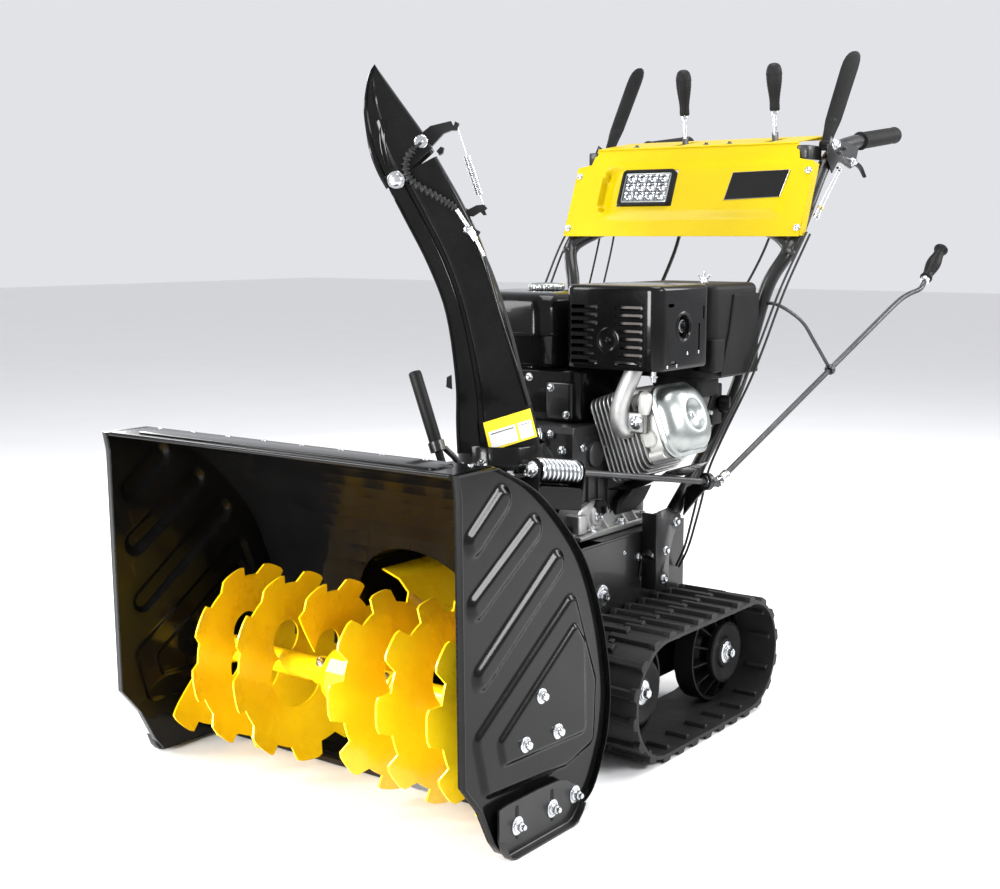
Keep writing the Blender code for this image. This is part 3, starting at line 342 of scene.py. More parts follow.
def mirrored(shape):
    return [Vector((-p[0], p[1], p[2])) for p in shape[0]], [tuple(reversed(f)) for f in shape[1]]


def sided(sign):
    """What puts a shape made for the left side on the left (1) or on the right (-1)."""
    return mirrored if sign < 0 else lambda shape: shape


def bolt(origin, direction, size, washer=1.35, turn=0.3):
    """Shapes for the washer, flange and hexagon head of a bolt seated on a face."""
    w = Vector(direction).normalized()
    flat = turned(origin, w, ((-0.001, size * washer), (size * 0.16, size * washer),
        (size * 0.22, size * washer * 0.96), (size * 0.22, size)), 24)
    flange = turned(origin, w, ((size * 0.2, size * 0.98), (size * 0.36, size * 0.98),
        (size * 0.46, size * 0.8)), 24)
    head = turned(origin, w, ((size * 0.4, size * 0.76), (size * 0.98, size * 0.76),
        (size * 1.1, size * 0.66), (size * 1.1, size * 0.3), (size * 1.04, size * 0.2)), 6,
        start=turn)
    return [flat, flange, head]


BEVEL_ANGLE = 40  # degrees between two faces from which their edge is bevelled


class Piece:
    """A piece in the making: shapes and their materials, joined into one mesh."""

    def __init__(self, name, body, replaces=(), sharp=38, slot=None):
        self.name, self.body, self.replaces = name, body, replaces
        self.sharp, self.slot = sharp, slot
        self.points, self.faces, self.marks, self.used = [], [], [], []

    def add(self, look, *shapes):
        if look not in self.used:
            self.used.append(look)
        mark = self.used.index(look)
        for points, faces in shapes:
            base = len(self.points)
            self.points += [tuple(p) for p in points]
            self.faces += [tuple(base + i for i in f) for f in faces]
            self.marks += [mark] * len(faces)
        return self

    def build(self, bevel=0.0):
        mesh = bpy.data.meshes.new(self.name)
        mesh.from_pydata(self.points, [], self.faces)
        for look in self.used:
            mesh.materials.append(LOOKS[look])
        mesh.polygons.foreach_set("material_index", self.marks)
        bm = bmesh.new()
        bm.from_mesh(mesh)
        bmesh.ops.recalc_face_normals(bm, faces=bm.faces)
        bm.to_mesh(mesh)
        bm.free()
        mesh.shade_smooth()
        mesh.set_sharp_from_angle(angle=math.radians(self.sharp))
        obj = bpy.data.objects.new(self.name, mesh)
        bpy.context.scene.collection.objects.link(obj)
        if bevel:
            cut = obj.modifiers.new("bevel", "BEVEL")
            cut.width = bevel
            cut.segments = 2
            cut.limit_method = "ANGLE"
            cut.angle_limit = math.radians(BEVEL_ANGLE)
            cut.harden_normals = True
        self.obj = obj
        return obj

    def done(self, bevel=0.0):
        obj = self.build(bevel)
        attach(obj, self.body)
        if self.replaces:
            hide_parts(*self.replaces)
        return obj


def smoothstep(x):
    x = np.clip(x, 0.0, 1.0)
    return x * x * (3 - 2 * x)


def segment_distance(p, a, b):
    ax, ay, bx, by = a[0], a[1], b[0], b[1]
    t = ((p[0] - ax) * (bx - ax) + (p[1] - ay) * (by - ay)) / ((bx - ax) ** 2 + (by - ay) ** 2)
    t = min(1.0, max(0.0, t))
    return math.hypot(p[0] - ax - t * (bx - ax), p[1] - ay - t * (by - ay))


def polygon_distance(p, corners):
    """Distance from a polygon: negative inside."""
    near = 9.0
    inside = False
    for a, b in zip(corners, corners[1:] + corners[:1]):
        near = min(near, segment_distance(p, a, b))
        if (a[1] > p[1]) != (b[1] > p[1]):
            if p[0] < (b[0] - a[0]) * (p[1] - a[1]) / (b[1] - a[1]) + a[0]:
                inside = not inside
    return -near if inside else near


def raised(distance, reach, slope):
    """1 within reach of a shape and 0 beyond it, over a rounded slope."""
    return float(smoothstep((reach - distance) / slope + 0.5))


def both_sides(build):
    for side, sign in (("left", 1), ("right", -1)):
        build(side, sign)


# ---------------------------------------------------------------- bucket

SIDE_FRONT = ((0.009, 0.095), (0.03, 0.078), (0.084, 0.05), (0.13, 0.012), (0.535, 0.006),
    (0.565, 0.0))  # height and depth of the side plate's front edge
SIDE_BACK = ((0.285, 0.009), (0.331, 0.028), (0.362, 0.078), (0.377, 0.125), (0.38, 0.19),
    (0.357, 0.292), (0.314, 0.388), (0.252, 0.461), (0.176, 0.523), (0.09, 0.565))
RIBS = (  # two ends and half width of each pressed rib, as (d, z)
    ((0.045, 0.468), (0.106, 0.516), 0.022), ((0.050, 0.378), (0.182, 0.463), 0.0215),
    ((0.062, 0.276), (0.240, 0.402), 0.0215),
)
OUTER_PANEL = ((0.062, 0.183), (0.277, 0.329), (0.33, 0.2), (0.326, 0.118), (0.268, 0.104),
    (0.08, 0.116))
SIDE_GRID = (170, 270)  # points along the depth and the height of a side plate
SIDE_SHEET = 0.0035
RIB_RISE, RIB_SLOPE = 0.007, 0.016
OUTER_RISE, INNER_RISE = 0.0055, 0.005
INNER_PANEL = ((0.104, 0.17), (0.281, 0.291), (0.297, 0.27), (0.302, 0.14), (0.11, 0.147))


def side_curves():
    front = np.array(SIDE_FRONT)
    back = np.array([(p.y, p.x) for p in spline([(a, b, 0) for a, b in SIDE_BACK], 8)])
    return front, back


def pressed(d, z):
    """How far the side plate's pressing stands out at a point."""
    lift = 0.0
    for a, b, half in RIBS:
        lift = max(lift, RIB_RISE * raised(segment_distance((d, z), a, b), half - 0.005,
            RIB_SLOPE))
    outer = raised(polygon_distance((d, z), OUTER_PANEL), 0.016, 0.013)
    inner = raised(polygon_distance((d, z), INNER_PANEL), 0.01, 0.011)
    return max(lift, OUTER_RISE * outer) + INNER_RISE * inner


def make_side_plates():
    front, back = side_curves()
    lo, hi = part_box("side_plate_left")
    face, lip = lo.x + 0.018, hi.x
    heights = np.linspace(front[0, 0], front[-1, 0], SIDE_GRID[1])
    lows = np.interp(heights, front[:, 0], front[:, 1])
    highs = np.interp(heights, back[:, 0], back[:, 1])

    def plate(u, v, inward):
        k = v * (len(heights) - 1)
        i = min(int(k), len(heights) - 2)
        t = k - i
        z = heights[i] * (1 - t) + heights[i + 1] * t
        a, b = lows[i] * (1 - t) + lows[i + 1] * t, highs[i] * (1 - t) + highs[i + 1] * t
        d = a + (b - a) * u
        return at(face + pressed(d, z) - inward, d, z)

    outline = [(d, z) for z, d in front[::-1]] + [(d, z) for z, d in back]
    inset = inset_outline(outline, 0.0022)
    soft = inset_outline(outline, 0.0009)
    rows = ((outline, face - SIDE_SHEET), (outline, lip - 0.0008), (soft, lip),
        (inset, lip - 0.0004), (inset, face - 0.0005))
    rim = loft([[at(x, d, z) for d, z in loop] for loop, x in rows], ring=True)
    shell = panel(*SIDE_GRID, plate, SIDE_SHEET)
    fixings = []
    for d, z in ((0.191, 0.217), (0.233, 0.152), (0.151, 0.155)):
        fixings += bolt(at(face + 0.0105, d, z), (1, 0, 0), 0.0088)
    hub = turned(at(lo.x + 0.0005, 0.2, 0.172), (1, 0, 0), ((0.0, 0.03), (-0.012, 0.03),
        (-0.014, 0.027), (-0.014, 0.0135), (0.0, 0.0135)), 40)

    def build(side, sign):
        turn = sided(sign)
        piece = Piece(f"side_plate_skin_{side}", "chassis", [f"side_plate_{side}"], 52)
        piece.add("gloss_black", turn(shell), turn(rim), turn(hub))
        piece.add("zinc", *[turn(s) for s in fixings])
        piece.done()

    both_sides(build)


def make_shoes():
    lo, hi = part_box("skid_shoe_left")
    x0 = lo.x + 0.0003
    steps = ((0.083, 0.03, 0.078), (0.09, 0.012, 0.0795), (0.098, 0.003, 0.08),
        (0.108, 0.0, 0.0805), (0.18, 0.0, 0.08), (0.235, 0.0, 0.077), (0.255, 0.0, 0.07),
        (0.266, 0.003, 0.062), (0.277, 0.012, 0.057), (0.286, 0.025, 0.054))
    loops = []
    for d, low, top in steps:
        section = ((x0, low + 0.003), (x0 + 0.001, low + 0.001), (x0 + 0.003, low),
            (hi.x - 0.001, low), (hi.x, low + 0.001), (hi.x, low + 0.0035),
            (x0 + 0.0055, low + 0.004), (x0 + 0.0042, low + 0.0055), (x0 + 0.004, top), (x0, top))
        loops.append([at(x, d, z) for x, z in section])
    shoe = loft(loops)
    slots, fixings = [], []
    for d, z, slot in ((0.125, 0.043, True), (0.213, 0.04, True), (0.272, 0.043, False)):
        if slot:
            ring = [(d + 0.0042 * math.cos(t), z + (0.026 if math.sin(t) > 0 else -0.016) + 0.0042
                * math.sin(t)) for t in [2 * math.pi * i / 20 for i in range(20)]]
            slots.append(extruded(ring, lambda a, b, h: at(x0 + 0.0035 + h, a, b), 0.0009))
        fixings += bolt(at(x0 + 0.004, d, z), (1, 0, 0), 0.0095, 1.45)
        stud = turned(at(x0 + 0.004, d, z), (1, 0, 0), ((0.008, 0.0042), (0.0145, 0.0042),
            (0.0155, 0.0034)), 16)
        fixings.append(stud)

    def build(side, sign):
        turn = sided(sign)
        piece = Piece(f"shoe_{side}", "chassis", [f"skid_shoe_{side}"], 30)
        piece.add("satin_black", turn(shoe))
        piece.add("plastic", *[turn(s) for s in slots])
        piece.add("zinc", *[turn(s) for s in fixings])
        piece.done(0.0006)

    both_sides(build)


def make_bucket_top():
    """The long pressed field in the bucket's top plate, and the plate's folded front edge."""
    lo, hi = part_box("auger_housing")
    piece = Piece("bucket_top_press", "chassis")
    field = soft_block(Vector((lo.x + 0.045, FRONT + 0.022, hi.z - 0.003)),
        Vector((hi.x - 0.045, FRONT + 0.07, hi.z + 0.0025)), 0.01, 0.002)
    fold = tube([at(lo.x + 0.002, 0.0035, hi.z - 0.0022), at(hi.x - 0.002, 0.0035, hi.z - 0.0022)],
        0.0034, 14)
    piece.add("gloss_black", field, fold)
    for k in range(9):
        x = lo.x + 0.03 + k * (hi.x - lo.x - 0.06) / 8
        piece.add("zinc", turned(at(x, 0.083, hi.z), UP, ((-0.0005, 0.0042), (0.0006, 0.0042),
            (0.0018, 0.0032), (0.0022, 0.001)), 14))
    piece.done()


def auger_ribbon(sign, start, end, turns, axis):
    """One toothed, dished flight whose inner edge meets the hub twice a turn."""
    per_turn = 108
    steps = int(turns * per_turn)
    radii = (0.0, 0.16, 0.34, 0.52, 0.7, 0.86, 1.0)
    loops = []
    for i in range(steps + 1):
        turn = i / per_turn
        angle = sign * 2 * math.pi * turn + (0.6 if sign > 0 else 2.2)
        phase = (turn * 9.0) % 1.0
        ramp = min(1.0, max(0.0, (0.29 - abs(phase - 0.5)) / 0.045))
        outer = 0.1345 + 0.0205 * ramp
        lobe = abs(math.sin(math.pi * turn * 2.0 + 0.5)) ** 0.75
        inner = 0.019 + 0.05 * lobe
        x = start + (end - start) * i / steps
        front, back = [], []
        for k in radii:
            r = inner + (outer - inner) * k
            bend = 0.026 * (1 - (r / 0.155) ** 1.7) - 0.0035 * ramp * max(0.0, (r - 0.134) / 0.02)
            for side, row in ((1, front), (-1, back)):
                row.append(axis + Vector((sign * (x + bend + side * 0.0017), r * math.cos(angle), r
                    * math.sin(angle))))
        loops.append(front + back[::-1])
    return loft(loops)


def make_augers():
    axis = pivot("auger_spin")
    for side, sign in (("left", 1), ("right", -1)):
        lo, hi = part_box(f"auger_{side}")
        near, far = min(abs(lo.x), abs(hi.x)), max(abs(lo.x), abs(hi.x))
        piece = Piece(f"auger_flight_{side}", "auger", [f"auger_{side}"], 40)
        tube_shape = turned(axis, (sign, 0, 0), ((near, 0.019), (near + 0.001, 0.0205),
            (far - 0.001, 0.0205), (far, 0.019)), 32)
        piece.add("auger_yellow", tube_shape,
            auger_ribbon(sign, near - 0.006, far - 0.022, 2.75, axis))
        for x in (near + 0.016, far - 0.03):
            collar = turned(axis, (sign, 0, 0), ((x - 0.014, 0.0205), (x - 0.0135, 0.024),
                (x + 0.0135, 0.024), (x + 0.014, 0.0205)), 32)
            piece.add("auger_yellow", collar)
            for way in ((0, -0.6, 0.8), (0, 0.6, -0.8)):
                w = Vector(way)
                piece.add("zinc", *bolt(axis + Vector((sign * x, 0, 0)) + w * 0.0235, w, 0.0075,
                    1.2))
        piece.done()


def retouch(look, *nodes):
    """Gives CAD nodes a finished material on every slot."""
    for name in nodes:
        obj = frame["nodes"][name]
        obj.data.materials.clear()
        obj.data.materials.append(LOOKS[look])


def make_bucket():
    make_side_plates()
    make_shoes()
    make_bucket_top()
    make_augers()


# ---------------------------------------------------------------- tracks

def belt_frame(s, offset):
    """A point and its outward direction on the belt's outer face, s along the belt."""
    rear, front = pivot("drive_wheel_left_spin"), pivot("idler_wheel_left_spin")
    radius, span = 0.104, rear.y - front.y
    total = 2 * span + 2 * math.pi * radius
    s %= total
    half = math.pi * radius
    if s < span:
        c, n = Vector((0, front.y + s, front.z)), Vector((0, 0, -1))
    elif s < span + half:
        t = (s - span) / radius
        c, n = Vector((0, rear.y, rear.z)), Vector((0, math.sin(t), -math.cos(t)))
    elif s < 2 * span + half:
        c, n = Vector((0, rear.y - (s - span - half), rear.z)), Vector((0, 0, 1))
    else:
        t = (s - 2 * span - half) / radius
        c, n = Vector((0, front.y, front.z)), Vector((0, -math.sin(t), math.cos(t)))
    return c + n * (radius + offset), n, total


def belt_lug(s, x0, x1, foot, top, low, high, lean=0.0):
    """A tapered bar standing on the belt from x0 to x1, its faces following the belt."""
    loops = []
    for k, h in enumerate((low, low + (high - low) * 0.8, high)):
        half = foot + (top - foot) * (h - low) / (high - low)
        pull = 0.0 if k < 2 else 0.0012
        ring = []
        for x, ds in ((x0 + pull, -half), (x1 - pull, -half), (x1 - pull, half),
                (x0 + pull, half)):
            shift = lean * (x - (x0 + x1) / 2)
            p, _, _ = belt_frame(s + ds * (1 - 0.1 * (k == 2)) + shift, h)
            ring.append(p + Vector((x, 0, 0)))
        loops.append(ring)
    return loft(loops)


def make_belt(side, sign):
    lo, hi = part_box("track_belt_left")
    x0, x1 = lo.x, hi.x
    turn = sided(sign)
    count = 168
    _, _, total = belt_frame(0, 0)
    rows = ((x0, -0.0072), (x0, -0.001), (x0 + 0.003, 0.0), (x1 - 0.003, 0.0), (x1, -0.001),
        (x1, -0.0072))
    loops = [[belt_frame(total * i / count, o)[0] + Vector((x, 0, 0)) for i in range(count)] for x,
        o in rows]
    piece = Piece(f"track_rubber_{side}", "chassis", [f"track_belt_{side}"], 35)
    piece.add("rubber", turn(loft(loops, ring=True)))
    lugs = 26
    for k in range(lugs):
        s = total * k / lugs
        mid = (x0 + x1) / 2
        for base, a, b in ((s, mid - 0.012, x1 - 0.001), (s + total / lugs / 2, x0 + 0.001, mid +
                0.012)):
            piece.add("rubber", turn(belt_lug(base, a, b, 0.0085, 0.0055, -0.0008, 0.0078, 0.03)))
        piece.add("rubber", turn(belt_lug(s, x1 - 0.012, x1 - 0.0004, 0.0125, 0.0085, -0.0008,
            0.0072)))
        piece.add("rubber", turn(belt_lug(s + total / lugs / 2, x0 + 0.0004, x0 + 0.012, 0.0125,
            0.0085, -0.0008, 0.0072)))
        stud = belt_lug(s + total / lugs * 0.25, mid - 0.006, mid + 0.004, 0.006, 0.004, -0.0008,
            0.006)
        piece.add("rubber", turn(stud))
    for k in range(19):
        s = total * (k + 0.3) / 19
        piece.add("rubber", turn(belt_lug(s, x1 - 0.052, x1 - 0.01, 0.006, 0.0035, -0.007,
            -0.014)))
    piece.done(0.0007)


def make_wheel(name, body, centre, sign, replaced, count=14):
    """A moulded track wheel: ribbed disc, rim, dished hub plate and its washer and bolt."""
    lo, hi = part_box("drive_wheel_left")
    x0, x1 = lo.x, hi.x
    c = Vector((0, centre.y, centre.z))
    turn = sided(sign)
    piece = Piece(name, body, replaced, 35)
    web = turned(c, (1, 0, 0), ((x0 + 0.012, 0.03), (x0 + 0.014, 0.088), (x0, 0.0885),
        (x0, 0.0935), (x0 + 0.038, 0.0935), (x0 + 0.038, 0.0885), (x0 + 0.02, 0.087),
        (x0 + 0.02, 0.06), (x0 + 0.03, 0.052)), 64)
    hub = turned(c, (1, 0, 0), ((x1 - 0.016, 0.02), (x1 - 0.016, 0.056), (x1 - 0.006, 0.0575),
        (x1 - 0.003, 0.056), (x1 - 0.001, 0.05), (x1 - 0.003, 0.044), (x1 - 0.008, 0.034),
        (x1 - 0.009, 0.03), (x1 - 0.004, 0.0265), (x1 - 0.003, 0.022), (x1 - 0.004, 0.016),
        (x1 - 0.004, 0.0)), 48)
    drum = turned(c, (1, 0, 0), ((x0 + 0.01, 0.034), (x1 - 0.012, 0.034)), 40)
    piece.add("plastic", turn(web), turn(hub), turn(drum))
    for k in range(count):
        t = 2 * math.pi * (k + 0.35) / count
        u = Vector((0, math.cos(t), math.sin(t)))
        v = Vector((0, -math.sin(t), math.cos(t)))
        loops = []
        for r, w, top in ((0.03, 0.0026, x1 - 0.014), (0.056, 0.0026, x1 - 0.012),
                (0.075, 0.0024, x1 - 0.02), (0.09, 0.0022, x0 + 0.036)):
            loops.append([c + u * r + v * a + Vector((x, 0, 0)) for a, x in ((-w, x0 + 0.01),
                (w, x0 + 0.01), (w * 0.7, top), (-w * 0.7, top))])
        piece.add("plastic", turn(loft(loops)))
        if k % 2:
            tooth = []
            for r, w in ((0.06, 0.011), (0.078, 0.012), (0.0885, 0.009)):
                tooth.append([c + u * r + v * a + Vector((x, 0, 0)) for a, x in ((-w, x0 + 0.018),
                    (w, x0 + 0.018), (w, x0 + 0.026), (-w, x0 + 0.026))])
            piece.add("plastic", turn(loft(tooth)))
    piece.add("zinc", turn(turned(c, (1, 0, 0), ((x1 - 0.0045, 0.0215), (x1 - 0.002, 0.0215),
        (x1 - 0.0015, 0.0205), (x1 - 0.0015, 0.01)), 32)))
    for shape in bolt(c + Vector((x1 - 0.002, 0, 0)), (1, 0, 0), 0.0115, 1.25):
        piece.add("zinc", turn(shape))
    piece.done(0.0005)


def make_tracks():
    both_sides(make_belt)
    for side, sign in (("left", 1), ("right", -1)):
        for kind in ("drive", "idler"):
            name = f"{kind}_wheel_{side}"
            make_wheel(f"{kind}_sprocket_{side}", name, pivot(f"{kind}_wheel_left_spin"), sign,
                [name])


# ---------------------------------------------------------------- stage

def make_stage():
    bpy.ops.mesh.primitive_plane_add(size=40, location=(0, 0, 0))
    floor = bpy.context.object
    floor.name = "floor"
    floor.data.materials.append(LOOKS["floor"])
    camera = bpy.data.objects.new("camera", bpy.data.cameras.new("camera"))
    bpy.context.scene.collection.objects.link(camera)
    camera.location = (1.529, -2.346, 0.878)
    camera.rotation_euler = (math.radians(90 - 8.21), 0, math.radians(36.67))
    camera.data.lens = 52.13
    camera.data.sensor_width = 36
    bpy.context.scene.camera = camera
    lights = (  # position, aim, size, power, name
        ((-2.3, -2.9, 2.3), (0, -0.4, 0.4), (0.8, 2.0), 95, "key"),
        ((2.6, -0.03, 1.7), (0.36, -0.7, 0.3), (1.5, 0.45), 60, "side"),
        ((-0.3, -3.4, 1.0), (-0.1, -0.7, 0.2), (1.3, 0.9), 150, "front"),
        ((0.4, 0.4, 3.4), (0, 0, 0.4), (2.6, 1.6), 95, "top"),
        ((2.2, 2.8, 2.2), (0, 0.3, 0.6), (1.0, 1.8), 60, "back"),
        ((-3.0, 0.9, 1.5), (0, 0, 0.6), (0.7, 2.0), 45, "far"),
    )
    for place, aim, size, power, name in lights:
        data = bpy.data.lights.new(name, "AREA")
        data.shape = "RECTANGLE"
        data.size, data.size_y = size
        data.energy = power
        lamp = bpy.data.objects.new(name, data)
        lamp.location = place
        lamp.rotation_mode = "QUATERNION"
        lamp.rotation_quaternion = (Vector(aim) - Vector(place)).to_track_quat("-Z", "Y")
        bpy.context.scene.collection.objects.link(lamp)
    world = bpy.data.worlds.new("studio")
    world.use_nodes = True
    world.node_tree.nodes["Background"].inputs["Color"].default_value = (0.95, 0.96, 1.0, 1)
    world.node_tree.nodes["Background"].inputs["Strength"].default_value = 0.8
    bpy.context.scene.world = world
    bpy.context.scene.view_settings.view_transform = "Standard"


# ---------------------------------------------------------------- chute

HEADING = Vector((-0.8, -0.6, 0))
SIDEWAYS = Vector((0.6, -0.8, 0))
RING_TEETH = 56
CHUTE_WALL = 0.0028
CHUTE_EDGES = (  # reach and height of the channel's open edge and of its back
    ((0.075, 0.520), (-0.066, 0.520)), ((0.077, 0.570), (-0.056, 0.574)),
    ((0.078, 0.642), (-0.037, 0.641)), ((0.093, 0.750), (0.001, 0.757)),
    ((0.122, 0.830), (0.030, 0.857)), ((0.160, 0.905), (0.064, 0.930)),
    ((0.180, 0.944), (0.092, 0.980)), ((0.188, 0.962), (0.107, 1.006)),
)
HOOD_EDGES = (((0.2045, 1.1495), (0.2035, 1.148)), ((0.213, 1.136), (0.197, 1.139)),
    ((0.2195, 1.11), (0.184, 1.121)), ((0.223, 1.078), (0.166, 1.096)),
    ((0.22, 1.045), (0.15, 1.074)), ((0.214, 1.01), (0.134, 1.052)),
    ((0.202, 0.978), (0.122, 1.034)), ((0.188, 0.952), (0.113, 1.018)),)
CHUTE_SECTION = (  # share of the way from the open edge to the back, and outward offset
    (0.0, 0.0030), (0.012, 0.0042), (0.030, 0.0036), (0.045, 0.0),
    (0.12, 0.0), (0.25, 0.0), (0.262, -0.0006), (0.285, -0.0040),
    (0.34, -0.0040), (0.362, -0.0006), (0.374, 0.0), (0.50, 0.0),
    (0.66, 0.0), (0.82, 0.0), (0.89, -0.0006), (0.935, -0.003),
    (0.970, -0.0075), (0.992, -0.014), (1.0, -0.022), (1.0, -0.034),
)
HOOD_SECTION = ((0.0, 0.003), (0.03, 0.0042), (0.075, 0.0034), (0.11, 0.0), (0.2, 0.0), (0.3, 0.0),
    (0.335, 0.0016), (0.37, 0.0016), (0.405, 0.0), (0.6, 0.0), (0.8, 0.0), (0.9, -0.0008),
    (0.955, -0.004), (0.988, -0.01), (1.0, -0.018), (1.0, -0.034),)


def chute_point(f, side, z):
    axis = pivot("chute_turn")
    return Vector((axis.x, axis.y, 0)) + HEADING * f + SIDEWAYS * side + UP * z


def channel(edges, half, section, wall, steps, bead=lambda k: 1.0):
    """A pressed U channel along two edge curves; bead(k) scales its outward beads."""
    front = spline([(f, z, 0) for (f, z), _ in edges], steps)
    rear = spline([(f, z, 0) for _, (f, z) in edges], steps)
    wide = half if callable(half) else (lambda k: half)
    loops = []
    for i, (a, b) in enumerate(zip(front, rear)):
        k = i / (len(front) - 1)
        w = wide(k)
        outer, inner = [], []
        for t, out in section:
            out *= bead(k) if out > 0 else 1.0
            p = a + (b - a) * t
            q = a + (b - a) * min(t, 1 - wall / max((b - a).length, 0.01))
            outer.append((p, w + out))
            inner.append((q, w + out - wall))
        full = [(p, s) for p, s in outer] + [(p, -s) for p, s in reversed(outer)]
        back = [(p, s) for p, s in inner] + [(p, -s) for p, s in reversed(inner)]
        ring = [chute_point(p.x, s, p.y) for p, s in full]
        ring += [chute_point(p.x, s, p.y) for p, s in reversed(back)]
        loops.append(ring)
    return loft(loops)


def flat_on_chute(corners, side, thick, rows=6):
    """A thin label that lies on the near wall: four corners as (reach, height)."""
    a, b, c, d = [Vector(p) for p in corners]

    def place(u, v, inward):
        low, high = a.lerp(b, u), d.lerp(c, u)
        p = low.lerp(high, v)
        return chute_point(p.x, side + thick - inward, p.y)

    return panel(rows, rows, place, thick)


def plate_2d(outline, place, thick, edge=0.0006):
    """An outline extruded into a flat plate with slightly broken edges."""
    return extruded(outline, place, thick, edge)


def make_chute():
    axis = pivot("chute_turn")
    piece = Piece("chute_shell", "chute", ["chute"], 32)
    wide = lambda k: 0.0545 - 0.007 * min(1.0, k * 5.0)
    piece.add("gloss_black", channel(CHUTE_EDGES, wide, CHUTE_SECTION, CHUTE_WALL, 5, lambda k:
        min(1.0, max(0.0, (0.86 - k) / 0.07))))
    teeth = []
    for i in range(RING_TEETH * 4):
        t = 2 * math.pi * i / (RING_TEETH * 4)
        teeth.append((0.0848 if i % 4 in (1, 2) else 0.0808, t))
    ring = lambda r, z: [Vector((axis.x + r * math.cos(t), axis.y + r * math.sin(t), z)) for _, t
        in teeth]
    gear = lambda z: [Vector((axis.x + r * math.cos(t), axis.y + r * math.sin(t), z)) for r, t in
        teeth]
    z0 = axis.z + 0.0005
    rows = [gear(z0), gear(z0 + 0.0075), ring(0.0795, z0 + 0.0085), ring(0.076, z0 + 0.0095),
        ring(0.075, z0 + 0.012), ring(0.075, 0.53), ring(0.0735, 0.5325), ring(0.0705, 0.532),
        ring(0.0695, 0.528), ring(0.0695, z0)]
    piece.add("gloss_black", loft(rows, ring=True))
    # the near wall's stops and the spring's lower bracket
    low = [(0.07, 0.928), (0.056, 0.921), (0.043, 0.9275), (0.03, 0.929), (0.0245, 0.9225),
        (0.0285, 0.919), (0.0255, 0.912), (0.031, 0.911), (0.036, 0.9165), (0.048, 0.909),
        (0.062, 0.911)]
    piece.add("satin_black", plate_2d(low, lambda a, b, h: chute_point(a, -0.0115 + h, b), 0.023))
    knob = [(0.084, 0.65), (0.092, 0.646), (0.093, 0.63), (0.083, 0.626)]
    piece.add("satin_black", plate_2d(knob, lambda a, b, h: chute_point(a, 0.04 + h, b), 0.01))
    piece.done()

    piece = Piece("chute_labels", "chute", slot="panel_yellow")
    corners = ((0.032, 0.571), (-0.046, 0.595), (-0.058, 0.548), (0.021, 0.523))
    frame_label = [Vector(c) for c in corners]
    piece.add("label_yellow", flat_on_chute(corners, 0.0547, 0.0006))

    def cell(u0, u1, v0, v1):
        a, b, c, d = frame_label
        pick = lambda u, v: tuple(a.lerp(b, u).lerp(d.lerp(c, u), v))
        return (pick(u0, v0), pick(u1, v0), pick(u1, v1), pick(u0, v1))

    piece.add("label_white", flat_on_chute(cell(0.06, 0.62, 0.36, 0.93), 0.0552, 0.0005),
        flat_on_chute(cell(0.67, 0.95, 0.36, 0.93), 0.0552, 0.0005))
    piece.add("label_black", flat_on_chute(cell(0.1, 0.58, 0.44, 0.47), 0.0555, 0.0005),
        flat_on_chute(cell(0.7, 0.92, 0.44, 0.46), 0.0555, 0.0005))
    piece.done()

    piece = Piece("deflector_hood", "deflector", ["deflector"], 32)
    piece.add("gloss_black", channel(HOOD_EDGES, 0.0515, HOOD_SECTION, 0.0026, 6))
    arm = [(0.13, 1.0465), (0.118, 1.056), (0.084, 1.064), (0.08, 1.056), (0.077, 1.0635),
        (0.0705, 1.06), (0.0745, 1.049), (0.083, 1.049), (0.096, 1.044), (0.116, 1.023)]
    piece.add("satin_black", plate_2d(arm, lambda a, b, h: chute_point(a, -0.0115 + h, b), 0.023))
    stop = [(0.108, 1.015), (0.101, 1.0225), (0.0955, 1.0205), (0.0975, 1.012), (0.1035, 1.0085)]
    piece.add("satin_black", plate_2d(stop, lambda a, b, h: chute_point(a, -0.016 + h, b), 0.032))
    # curved pressings beside the near edge
    for k, (f0, f1) in enumerate(((0.196, 0.186), (0.189, 0.179))):
        path = spline([chute_point(f0 - 0.002, 0.052, 1.062),
            chute_point(f0 + 0.001, 0.0522, 1.04), chute_point(f0 - 0.001, 0.0522, 1.015),
            chute_point(f1 + 0.001, 0.052, 0.985)], 6)
        piece.add("gloss_black", tube(path, [0.0005 + 0.0012 * math.sin(math.pi * i / 18) for i in
            range(19)], 10))
    for s in (1, -1):
        p = chute_point(0.172, s * 0.0535, 0.967)
        piece.add("zinc", turned(p, SIDEWAYS * s, ((-0.003, 0.0145), (0.0015, 0.0145),
            (0.0022, 0.0138), (0.0022, 0.0105)), 40), turned(p, SIDEWAYS * s, ((0.002, 0.0105),
            (0.0042, 0.01), (0.0062, 0.0075), (0.007, 0.004), (0.007, 0.0)), 32))
    eye = chute_point(0.131, 0.0525, 1.028)
    piece.add("zinc", turned(eye, SIDEWAYS, ((0.0, 0.0105), (0.0018, 0.0108), (0.0028, 0.0096),
        (0.0028, 0.006), (0.0044, 0.0056), (0.0044, 0.003), (0.003, 0.0024), (0.003, 0.0)), 32))
    piece.done()

